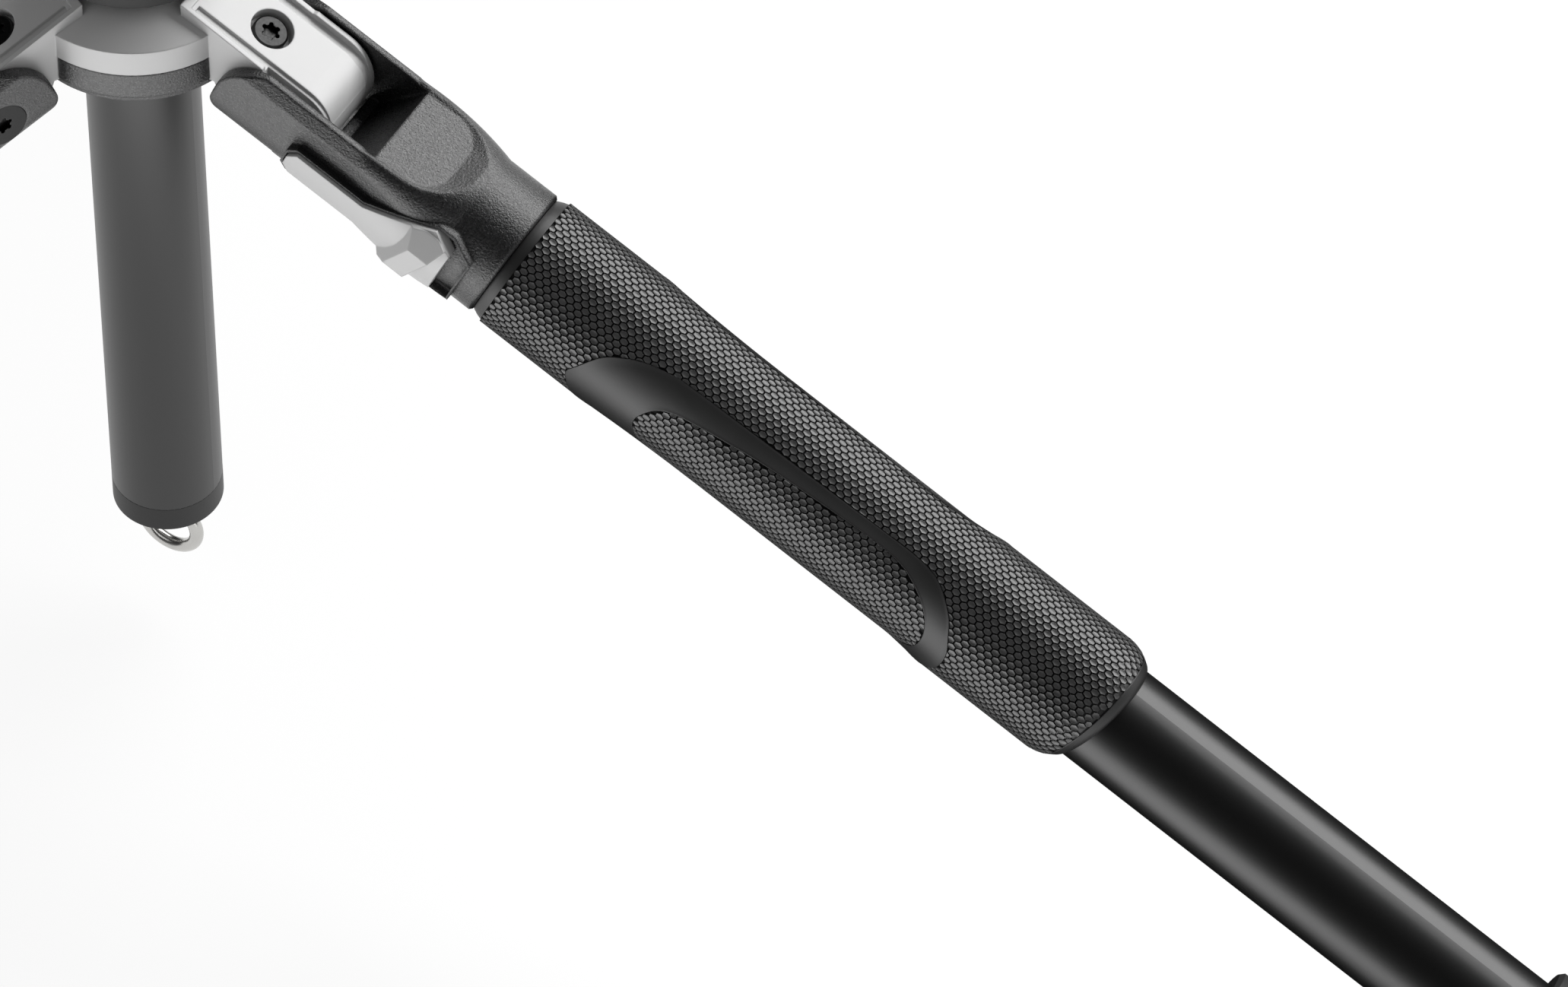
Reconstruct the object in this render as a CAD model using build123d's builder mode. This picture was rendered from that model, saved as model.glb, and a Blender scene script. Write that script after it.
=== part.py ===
from build123d import *
import os
from math import cos, radians, sin, sqrt, tan

# Travel tripod without its head, standing low on its third leg angle, all leg sections in.
# Millimetres. +Z is up, and the origin is the centre of the head plate's top face.
# A leg piece is drawn in leg coordinates: X runs down the leg from its pivot, Y points out of
# the leg's front, Z points to the side with the angle selector. Leg planes then place it.

os.makedirs("parts", exist_ok=True)

# Layout of the crown and its legs
leg_count = 3
pivot_radius = 40.0
rest_spread = 66.0
stop_angles = (22.0, 46.0, 66.0, 88.0)

# Fits and gaps
running_fit = 0.05
glue_gap = 0.05
side_gap = 0.10
part_gap = 0.30
nut_gap = 0.60

# Leg tubes, from the outermost inwards
tube_diameters = (25.0, 21.4, 17.8, 14.2)
tube_wall = 1.3
tube_stagger = 6.0
section_start = 66.0
guide_length = 14.0

# Twist nuts, collets and feet
first_nut_start = 330.0
nut_length = 30.0
nut_wall = 3.9
nut_lip = 3.0
nut_engagement = 15.0
nut_flute_radius = 1.5
nut_flute_count = 20
nut_shoulder = 4.0
nut_edge = 1.0
collet_length = 10.5
collet_slit = 1.2
foot_length = 23.0
foot_radius = 11.0
foot_neck = 9.2
foot_sole = 9.4

# Lug on the crown and the leg bracket's fork
lug_radius = 13.0
lug_half_width = 10.4
lug_face_drop = 2.2
lug_rim_drop = 1.3
lug_face_half_width = 7.0
lug_groove_width = 2.2
lug_groove_depth = 0.7
lug_nose_drop = 4.0
lug_nose_step = 0.05
lug_bevel_inwards = 3.5
lug_bevel_across = 2.4
lug_bevel_from = 190.0
lug_bevel_round = 150.0
bolt_radius = 4.0
bolt_head_radius = 5.5
bolt_head_height = 2.2
bolt_blind_wall = 1.4
bush_wall = 0.95
bush_flange = 0.5
bush_flange_radius = 8.2
bush_length = 9.0
index_radius = 8.8
index_depth = 2.4
index_notch_depth = 1.4
index_notch_width = 3.6

fork_half_width = 14.2
fork_top = 12.6
fork_bottom = 13.4
fork_gap = 2.8
fork_back_gap = 0.6
fork_web_inset = 0.4
fork_bevel_across = 1.7
fork_bevel_down = 3.1
fork_bottom_corner = 12.4
fork_end_radius = 13.4
fork_end_corner = 7.0
collar_radius = 15.3
collar_end = 59.0
collar_start = 46.0
collar_edge = 0.6
collar_flat = 0.15
ear_blend_start = 20.0
ear_blend_middle = 34.0
ear_blend_squarer = 2.0
ramp_start = 23.4
ramp_end = 38.6
ramp_half_width = 10.6
ramp_corner = 7.0
ramp_low = 12.2
ramp_high = 12.9
ramp_wall_taper = 69.0
ramp_wall_height = 4.0
ramp_overcut = 2.0
ramp_foot_height = -2.0
socket_depth = 18.6

# Angle selector in its pocket on the side of the fork
slider_start = 8.1
slider_end = 48.8
slider_stem_half = 3.3
slider_flare_start = 27.5
slider_flare_end = 43.5
slider_flare_half = 9.3
slider_nose = 1.9
slider_corner = 2.6
slider_inner_radius = 14.75
slider_outer_radius = 17.4
slider_travel = 4.0
slider_gap = 0.30
tab_root_start = 35.5
tab_root_end = 45.2
tab_root_upper = 8.7
tab_root_lower = 8.3
tab_top_start = 39.6
tab_top_end = 44.8
tab_top_upper = 4.0
tab_top_lower = 5.2
tab_lean = 18.0
tab_height = 19.2
tab_root = 15.4
tooth_start = 9.3
tooth_length = 3.0
tooth_half = 1.5
tooth_reach = 8.3
pocket_floor_radius = 14.6
housing_radius = 16.8
housing_margin = 5.5
housing_taper = 46.0
housing_base = 11.6
housing_rim = 0.8
housing_rim_base = 9.0
housing_wall_end = 36.0
spring_coils = 5
spring_radius = 1.15
spring_wire = 0.35
spring_room = 9.5
spring_seat = 20.0
spring_lug = 1.4

# Rubber grip on the first leg
grip_length = 162.4
grip_radius = 15.9
grip_recess = 0.8
grip_ring = 2.2
grip_end_angle = 12.0
loop_start = 92.0
loop_end = 181.0
loop_half = 12.3
loop_corner = 10.5

# Crown, column and head plate, with heights measured from the pivots
column_diameter = 25.0
column_wall = 1.5
column_length = 186.5
column_travel = 115.0
bush_radius = 15.3
bush_cover = 2.4
crown_lobe_overhang = 0.9
crown_cover_edge = 10.0
crown_bottom = 3.0
crown_cover_drop = 1.0
arm_overlap = 3.7
hub_wall = 4.0
hub_thickness = 3.0
hub_edge = 1.0
leg_room_half = 15.6
lock_height = 17.0
lock_radius = 20.6
lock_lip = 3.6
lock_edge = 1.2
lock_flute_radius = 1.6
lock_flute_count = 24
plate_radius = 22.0
plate_height = 10.0
plate_gap = 0.5
plate_edge = 1.2
plate_plug = 12.0
stud_radius = 4.7625
stud_height = 9.0
stud_chamfer = 0.6
stud_root_radius = 4.0
stud_root = 6.0
set_screw_radius = 2.0
set_screw_circle = 16.5
cap_height = 8.0
cap_edge = 1.5
cap_plug = 12.0
cap_cavity_radius = 6.0
cap_floor = 4.0
hook_wire = 1.6
hook_ring_radius = 7.0
hook_shank_radius = 2.0
hook_head_radius = 4.0
hook_head_height = 1.8
hook_neck = 2.9

# Six-lobe screws in the crown arms
arm_screw_reach = -11.0
arm_screw_head_radius = 4.0
arm_screw_head_height = 2.4
arm_screw_radius = 2.0
arm_screw_length = 9.0
arm_screw_sunk = 1.0
arm_screw_bore_radius = 4.9
recess_radius = 2.2
recess_depth = 1.5

# Worked out from the sizes above
lug_face_height = lug_radius - lug_face_drop
lug_rim_height = lug_radius - lug_rim_drop
lug_nose_radius = lug_radius - lug_nose_drop
fork_slot_half = lug_half_width + bush_flange + side_gap
fork_slot_end = lug_radius + fork_gap
fork_slot_back = lug_radius + fork_back_gap
leg_room = pivot_radius - fork_end_radius - fork_back_gap
hub_radius = leg_room - part_gap
arm_root = leg_room - part_gap
crown_ring_radius = leg_room - hub_wall - part_gap
crown_lobe_radius = leg_room + crown_lobe_overhang
arm_inner = crown_ring_radius - arm_overlap
fork_web_start = lug_radius - fork_web_inset
hub_bottom = crown_bottom - hub_thickness
bush_outer = bolt_radius + running_fit + bush_wall
collar_bore = tube_diameters[0] / 2 + glue_gap
column_radius = column_diameter / 2
face_rise = cos(radians(rest_spread)) / sin(radians(rest_spread))
lug_face_at_pivot = lug_face_height / sin(radians(rest_spread))
arm_top = lug_face_at_pivot + (pivot_radius - arm_inner) * face_rise + lug_rim_height - lug_face_height
lock_bottom = arm_top + part_gap
lock_top = lock_bottom + lock_height
bush_top = lock_top - lock_lip - bush_cover
plate_over_pivot = lock_top + plate_gap + plate_height
pivot_z = -plate_over_pivot
column_top = lock_top + plate_gap
column_bottom = column_top - column_length
grip_start = collar_end + side_gap
tube_start = collar_end - socket_depth
grip_end = grip_start + grip_length
half_extrusion = 40.0
spread_sine = sin(radians(rest_spread))
spread_cosine = cos(radians(rest_spread))
nut_starts = [first_nut_start + n * (nut_length + nut_gap) for n in range(3)]
foot_start = nut_starts[-1] + nut_length + nut_gap
foot_end = foot_start + foot_length


def radial(number):
    """Unit vector from the column towards leg 0, 1 or 2."""
    azimuth = radians(360 / leg_count * number)
    return (cos(azimuth), sin(azimuth), 0)


def sideways(number):
    """Unit vector across leg 0, 1 or 2, towards its selector."""
    azimuth = radians(360 / leg_count * number)
    return (sin(azimuth), -cos(azimuth), 0)


def arm_plane(number):
    """Radius along X and height over the pivots along Y, in the plane of one leg."""
    return Plane(origin=(0, 0, pivot_z), x_dir=radial(number), z_dir=sideways(number))


def leg_plane(number):
    """Leg coordinates of leg 0, 1 or 2 at the rest spread."""
    outward = radial(number)
    pivot = (outward[0] * pivot_radius, outward[1] * pivot_radius, pivot_z)
    down_leg = (outward[0] * spread_sine, outward[1] * spread_sine, -spread_cosine)
    return Plane(origin=pivot, x_dir=down_leg, z_dir=sideways(number))


def level(height):
    """Horizontal plane at a height over the pivots."""
    return Plane.XY.offset(pivot_z + height)


def face_height(radius):
    """Height of the arms' sloping face over the pivots, at a radius."""
    return lug_face_at_pivot + (pivot_radius - radius) * face_rise


def write_piece(piece, name):
    """Label one sub-part and write it."""
    piece.part.label = name
    export_step(piece.part, f"parts/{name}.step")


def write_for_legs(piece, name, legs=leg_count):
    """Place a leg piece, drawn in leg coordinates, on each leg and write it."""
    for number in range(legs):
        with BuildPart(leg_plane(number)) as placed:
            add(piece.part)
        write_piece(placed, f"{name}_{number + 1}" if legs > 1 else name)


def six_lobe(radius):
    """Sketch of a six-lobe screw recess."""
    Circle(radius * 0.72)
    with PolarLocations(radius * 0.76, 6):
        Circle(radius * 0.24)


def slider_outline(grow, travel):
    """Outline of the selector in leg X and Y, grown all round and stretched down the leg."""
    stem = slider_stem_half + grow
    wide = slider_flare_half + grow
    start = slider_start - grow
    end = slider_end + grow + travel
    flare_start = slider_flare_start - grow / 2
    flare_end = slider_flare_end + travel
    upper = (
        (start, stem - slider_nose),
        (start + slider_nose, stem),
        (flare_start, stem),
        (slider_flare_end, wide),
        (flare_end, wide),
        (end, wide - slider_corner),
    )
    lower = [(x, -y) for x, y in reversed(upper)]
    Polygon(*upper, *lower, align=None)


def fork_section(half_width, top, bottom, top_corner, bottom_corner):
    """Section across the bracket, with the leg's front along X and its top corners round or bevelled."""
    with Locations(((top - bottom) / 2, 0)):
        Rectangle(top + bottom, 2 * half_width)
    fillet(vertices().group_by(Axis.X)[0], bottom_corner)
    if top_corner:
        fillet(vertices().group_by(Axis.X)[-1], top_corner)
    else:
        for side in (1, -1):
            Polygon(
                (top, side * (half_width - fork_bevel_across)),
                (top, side * half_width),
                (top - fork_bevel_down, side * half_width),
                align=None,
                mode=Mode.SUBTRACT,
            )


def above_nose(height, start):
    """Region over a height of the lug, from a start down to the nose it runs round, in leg X and Y."""
    reach = lug_radius - lug_nose_step
    middle = sqrt((reach - lug_nose_radius) ** 2 - (height - lug_nose_radius) ** 2)
    meets = reach * (height - lug_nose_radius) / (reach - lug_nose_radius)
    end = 2 * lug_radius
    with Locations(((start + end) / 2, height + lug_radius)):
        Rectangle(end - start, 2 * lug_radius)
    with Locations((middle + lug_radius, (height + meets) / 2)):
        Rectangle(2 * lug_radius, height - meets)
    with Locations((middle, height - lug_nose_radius)):
        Circle(lug_nose_radius, mode=Mode.SUBTRACT)


# Bracket: a cast fork whose two ears straddle the crown's lug, and a collar round the tube
with BuildPart() as selector_housing:
    with BuildSketch(Plane.XY.offset(housing_base)):
        slider_outline(housing_margin, slider_travel)
    extrude(amount=housing_margin, taper=housing_taper)
    with BuildSketch(Plane.XY):
        with Locations((housing_wall_end / 2, 0)):
            Rectangle(housing_wall_end, half_extrusion)
    extrude(amount=half_extrusion, mode=Mode.INTERSECT)
    with BuildSketch(Plane.XY.offset(housing_rim_base)):
        slider_outline(housing_rim, slider_travel)
    extrude(amount=half_extrusion / 4)
    with Locations(Location((slider_start, 0, 0), (0, 90, 0))):
        Cylinder(housing_radius, 2 * slider_end, align=(Align.CENTER, Align.CENTER, Align.CENTER),
                 mode=Mode.INTERSECT)

with BuildPart() as selector_pocket:
    with BuildSketch(Plane.XY.offset(housing_base)):
        slider_outline(slider_gap, slider_travel)
    extrude(amount=half_extrusion / 4)
    with BuildSketch(Plane.YZ):
        Circle(pocket_floor_radius)
    extrude(amount=2 * slider_end, mode=Mode.SUBTRACT)

with BuildPart() as bracket:
    ear = (fork_half_width, fork_top, fork_bottom, 0, fork_bottom_corner)
    nearly_round = collar_radius - collar_flat
    collar = (collar_radius, collar_radius, collar_radius, nearly_round, nearly_round)
    blend = (
        (fork_half_width + collar_radius) / 2,
        (fork_top + collar_radius) / 2,
        (fork_bottom + collar_radius) / 2,
        (fork_bevel_down + nearly_round) / 2 - ear_blend_squarer,
        (fork_bottom_corner + nearly_round) / 2,
    )
    sections = ((ear_blend_start, ear), (ear_blend_middle, blend), (collar_start, collar))
    for distance, sizes in sections:
        with BuildSketch(Plane.YZ.offset(distance)):
            fork_section(*sizes)
    loft()
    with BuildSketch(Plane.YZ.offset(ear_blend_start)):
        fork_section(*ear)
    extrude(amount=-ear_blend_start - fork_end_radius)
    with BuildSketch(Plane.YZ.offset(collar_start)):
        fork_section(*collar)
    extrude(amount=collar_end - collar_start)
    chamfer(edges().group_by(Axis.X)[-1], collar_edge)
    # the ends of the ears are round from the side and from the front
    ear_centre = (fork_top - fork_bottom) / 2
    with BuildSketch(Plane.XY) as side_outline:
        Circle(fork_end_radius)
        with Locations((collar_end / 2, ear_centre)):
            Rectangle(collar_end, 4 * fork_end_radius)
    extrude(amount=half_extrusion, both=True, mode=Mode.INTERSECT)
    with BuildSketch(Plane.XZ) as front_outline:
        with Locations(((collar_end - fork_end_radius) / 2, 0)):
            Rectangle(collar_end + fork_end_radius, 2 * collar_radius + fork_end_corner)
        fillet(vertices().group_by(Axis.X)[0], fork_end_corner)
    extrude(amount=half_extrusion, both=True, mode=Mode.INTERSECT)
    add(selector_housing.part)
    # slot for the lug, close behind it at the back and wide open to the ramp at the front
    with BuildSketch(Plane.XY):
        with Locations(((fork_web_start - half_extrusion) / 2, 0)):
            Rectangle(fork_web_start + half_extrusion, half_extrusion)
        Circle(fork_slot_back)
        with BuildLine():
            Polyline(
                (fork_web_start - 1, ramp_foot_height),
                (fork_slot_end, ramp_foot_height),
                (ramp_start, ramp_low),
                (ramp_start, half_extrusion),
                (fork_web_start - 1, half_extrusion),
                close=True,
            )
        make_face()
    extrude(amount=fork_slot_half, both=True, mode=Mode.SUBTRACT)
    # shield-shaped ramp behind the slot, which clears the crown's arm when the leg is folded up
    ramp_plane = Plane(
        origin=(ramp_start, ramp_low, 0),
        x_dir=(ramp_end - ramp_start, ramp_high - ramp_low, 0),
        z_dir=(ramp_low - ramp_high, ramp_end - ramp_start, 0),
    )
    with BuildSketch(ramp_plane):
        with Locations(((ramp_end - ramp_start - ramp_overcut) / 2, 0)):
            Rectangle(ramp_end - ramp_start + ramp_overcut, 2 * ramp_half_width)
        fillet(vertices().group_by(Axis.X)[-1], ramp_corner)
    extrude(amount=ramp_wall_height, taper=-ramp_wall_taper, mode=Mode.SUBTRACT)
    add(selector_pocket.part, mode=Mode.SUBTRACT)
    # way through the ear and into the slot's end for the selector's tooth
    with BuildSketch(Plane.XY.offset(tooth_reach - slider_gap)):
        tooth_way = tooth_length + slider_travel + 2 * slider_gap
        with Locations((tooth_start - slider_gap + tooth_way / 2, 0)):
            Rectangle(tooth_way, 2 * (tooth_half + slider_gap))
    extrude(amount=slider_inner_radius - tooth_reach + slider_gap, mode=Mode.SUBTRACT)
    # groove under the stem for the selector's spring and the lug that presses on it
    groove_start = spring_seat - spring_lug - slider_gap
    groove_end = spring_seat + spring_room
    with BuildSketch(Plane.XY.offset(pocket_floor_radius - 2 * spring_radius - slider_gap)):
        with Locations(((groove_start + groove_end) / 2, 0)):
            Rectangle(groove_end - groove_start, 2 * (spring_radius + slider_gap))
    extrude(amount=slider_outer_radius - pocket_floor_radius, mode=Mode.SUBTRACT)
    # socket for the tube
    with BuildSketch(Plane.YZ.offset(collar_end - socket_depth)):
        Circle(collar_bore)
    extrude(amount=socket_depth, mode=Mode.SUBTRACT)
    # pivot bolt: through the far ear, blind in the near one
    with BuildSketch(Plane.XY.offset(-fork_half_width)):
        Circle(bolt_head_radius + side_gap)
    extrude(amount=bolt_head_height, mode=Mode.SUBTRACT)
    with BuildSketch(Plane.XY.offset(-fork_half_width)):
        Circle(bolt_radius + running_fit)
    bolt_reach = fork_half_width - bolt_blind_wall
    extrude(amount=fork_half_width + bolt_reach, mode=Mode.SUBTRACT)

write_for_legs(bracket, "leg_bracket")

# Pivot bolt with a low round head in the far ear
with BuildPart() as pivot_bolt:
    with BuildSketch(Plane.XY.offset(-fork_half_width + side_gap)):
        Circle(bolt_head_radius)
    extrude(amount=bolt_head_height - side_gap)
    with BuildSketch(Plane.XY.offset(-fork_half_width + bolt_head_height)):
        Circle(bolt_radius)
    extrude(amount=fork_half_width + bolt_reach - bolt_head_height - side_gap)
    with BuildSketch(Plane.XY.offset(-fork_half_width + side_gap)):
        six_lobe(recess_radius)
    extrude(amount=recess_depth, mode=Mode.SUBTRACT)

write_for_legs(pivot_bolt, "pivot_bolt")

# Thumb tab of the angle selector: a slanted block on the wide end of the slider
with BuildPart() as selector_tab:
    tab_slant = tan(radians(tab_lean))
    for height, start, end, upper, lower in (
        (tab_root, tab_root_start, tab_root_end, tab_root_upper, tab_root_lower),
        (tab_height, tab_top_start, tab_top_end, tab_top_upper, tab_top_lower),
    ):
        with BuildSketch(Plane.XY.offset(height)):
            Polygon(
                (start - tab_slant * lower, -lower),
                (end - tab_slant * lower, -lower),
                (end + tab_slant * upper, upper),
                (start + tab_slant * upper, upper),
                align=None,
            )
    loft(ruled=True)
    with BuildSketch(Plane.XY):
        slider_outline(0, 0)
    extrude(amount=half_extrusion, mode=Mode.INTERSECT)

# Angle selector: a curved slider with a thumb tab outside and a tooth inside
with BuildPart() as selector:
    with BuildSketch(Plane.XY.offset(housing_base)):
        slider_outline(0, 0)
    extrude(amount=half_extrusion / 4)
    with BuildSketch(Plane.YZ):
        Circle(slider_outer_radius)
    extrude(amount=2 * slider_end, mode=Mode.INTERSECT)
    add(selector_tab.part)
    with BuildSketch(Plane.YZ):
        Circle(slider_inner_radius)
    extrude(amount=2 * slider_end, mode=Mode.SUBTRACT)
    with BuildSketch(Plane.XY.offset(tooth_reach)):
        with Locations((tooth_start + tooth_length / 2, 0)):
            Rectangle(tooth_length, 2 * tooth_half)
    extrude(amount=slider_inner_radius + 1 - tooth_reach)
    with BuildSketch(Plane.XY.offset(pocket_floor_radius - 2 * spring_radius)):
        with Locations((spring_seat - spring_lug / 2, 0)):
            Rectangle(spring_lug, 2 * spring_radius)
    extrude(amount=2 * spring_radius + 1)

write_for_legs(selector, "angle_selector")

# Selector spring, lying in a groove under the stem
with BuildPart() as selector_spring:
    spring_length = spring_room - 2 * spring_wire - 2 * side_gap
    spring_end = (spring_seat + spring_wire + side_gap, 0, pocket_floor_radius - spring_radius)
    with BuildLine() as spring_path:
        Helix(
            spring_length / spring_coils,
            spring_length,
            spring_radius - spring_wire,
            center=spring_end,
            direction=(1, 0, 0),
        )
    with BuildSketch(Plane(origin=spring_path.line @ 0, z_dir=spring_path.line % 0)):
        Circle(spring_wire)
    sweep()

write_for_legs(selector_spring, "selector_spring")

# Leg tubes: the outer one is glued into the collar, the others slide on glued guide rings
for index, diameter in enumerate(tube_diameters):
    outer = diameter / 2
    start = tube_start + glue_gap if index == 0 else section_start + tube_stagger * (index - 1)
    last = index == len(tube_diameters) - 1
    end = foot_end - foot_sole if last else nut_starts[index] + nut_engagement
    with BuildPart() as leg_tube:
        with BuildSketch(Plane.YZ.offset(start)):
            Circle(outer)
            Circle(outer - tube_wall, mode=Mode.SUBTRACT)
        extrude(amount=end - start)
        if index > 0:
            room = tube_diameters[index - 1] / 2 - tube_wall
            with BuildSketch(Plane.YZ.offset(start)):
                Circle(room - running_fit)
                Circle(outer - tube_wall / 2, mode=Mode.SUBTRACT)
            extrude(amount=guide_length)
    write_for_legs(leg_tube, f"leg_tube_{index + 1}")

# Twist nuts, each over the end of one tube and the collet that grips the next
for index, start in enumerate(nut_starts):
    tube_radius = tube_diameters[index] / 2
    next_radius = tube_diameters[index + 1] / 2
    nut_radius = tube_radius + nut_wall
    with BuildPart() as twist_nut:
        with BuildSketch(Plane.YZ.offset(start)):
            Circle(nut_radius)
        extrude(amount=nut_length)
        chamfer(edges(), nut_edge)
        with BuildSketch(Plane.YZ.offset(start + nut_shoulder)):
            with PolarLocations(nut_radius + nut_flute_radius * 0.55, nut_flute_count):
                Circle(nut_flute_radius)
        extrude(amount=nut_length - 2 * nut_shoulder, mode=Mode.SUBTRACT)
        with BuildSketch(Plane.YZ.offset(start)):
            Circle(tube_radius + running_fit)
        extrude(amount=nut_length - nut_lip, mode=Mode.SUBTRACT)
        with BuildSketch(Plane.YZ.offset(start)):
            Circle(next_radius + part_gap)
        extrude(amount=nut_length, mode=Mode.SUBTRACT)
    write_for_legs(twist_nut, f"twist_nut_{index + 1}")
    with BuildPart() as collet:
        with BuildSketch(Plane.YZ.offset(start + nut_engagement + side_gap)):
            Circle(tube_radius - side_gap)
            Circle(next_radius + running_fit, mode=Mode.SUBTRACT)
            with Locations((tube_radius, 0)):
                Rectangle(2 * nut_wall, collet_slit, mode=Mode.SUBTRACT)
        extrude(amount=collet_length)
    write_for_legs(collet, f"collet_{index + 1}")

# Rubber foot on the innermost tube
with BuildPart() as foot:
    with BuildSketch(Plane.XY):
        with BuildLine():
            foot_ball = foot_end - foot_radius
            Polyline((foot_start, 0), (foot_start, foot_neck), (foot_ball, foot_radius))
            RadiusArc((foot_ball, foot_radius), (foot_end, 0), foot_radius)
            Line((foot_end, 0), (foot_start, 0))
        make_face()
    revolve(axis=Axis.X)
    with BuildSketch(Plane.YZ.offset(foot_start)):
        Circle(tube_diameters[-1] / 2 + glue_gap)
    extrude(amount=foot_length - foot_sole, mode=Mode.SUBTRACT)

write_for_legs(foot, "foot")

# Rubber grip on the first leg, with a shallow recess on each side
with BuildPart() as grip_recesses:
    with BuildSketch(Plane.XY):
        with Locations(((loop_start + loop_end) / 2, 0)):
            RectangleRounded(loop_end - loop_start, 2 * loop_half, loop_corner)
    extrude(amount=half_extrusion, both=True)
    with BuildSketch(Plane.YZ):
        Circle(grip_radius - grip_recess)
    extrude(amount=2 * grip_end, mode=Mode.SUBTRACT)

with BuildPart() as grip:
    with BuildSketch(Plane.XY):
        with BuildLine():
            Polyline(
                (grip_start, collar_bore),
                (grip_start, grip_radius - grip_recess),
                (grip_start + grip_ring, grip_radius),
                (grip_end + grip_recess, grip_radius),
                (grip_end + grip_recess, collar_bore),
                close=True,
            )
        make_face()
    revolve(axis=Axis.X)
    add(grip_recesses.part, mode=Mode.SUBTRACT)
    # the lower end is cut aslant, longest at the front of the leg
    end_slant = tan(radians(grip_end_angle))
    grip_end_middle = grip_end - end_slant * grip_radius
    end_plane = Plane(origin=(grip_end_middle, 0, 0), x_dir=(end_slant, 1, 0), z_dir=(1, -end_slant, 0))
    with BuildSketch(end_plane):
        Rectangle(4 * grip_radius, 4 * grip_radius)
    extrude(amount=half_extrusion, mode=Mode.SUBTRACT)
    chamfer(faces().sort_by(Axis.X)[-1].outer_wire().edges(), grip_recess)

write_for_legs(grip, "leg_grip", legs=1)

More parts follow.
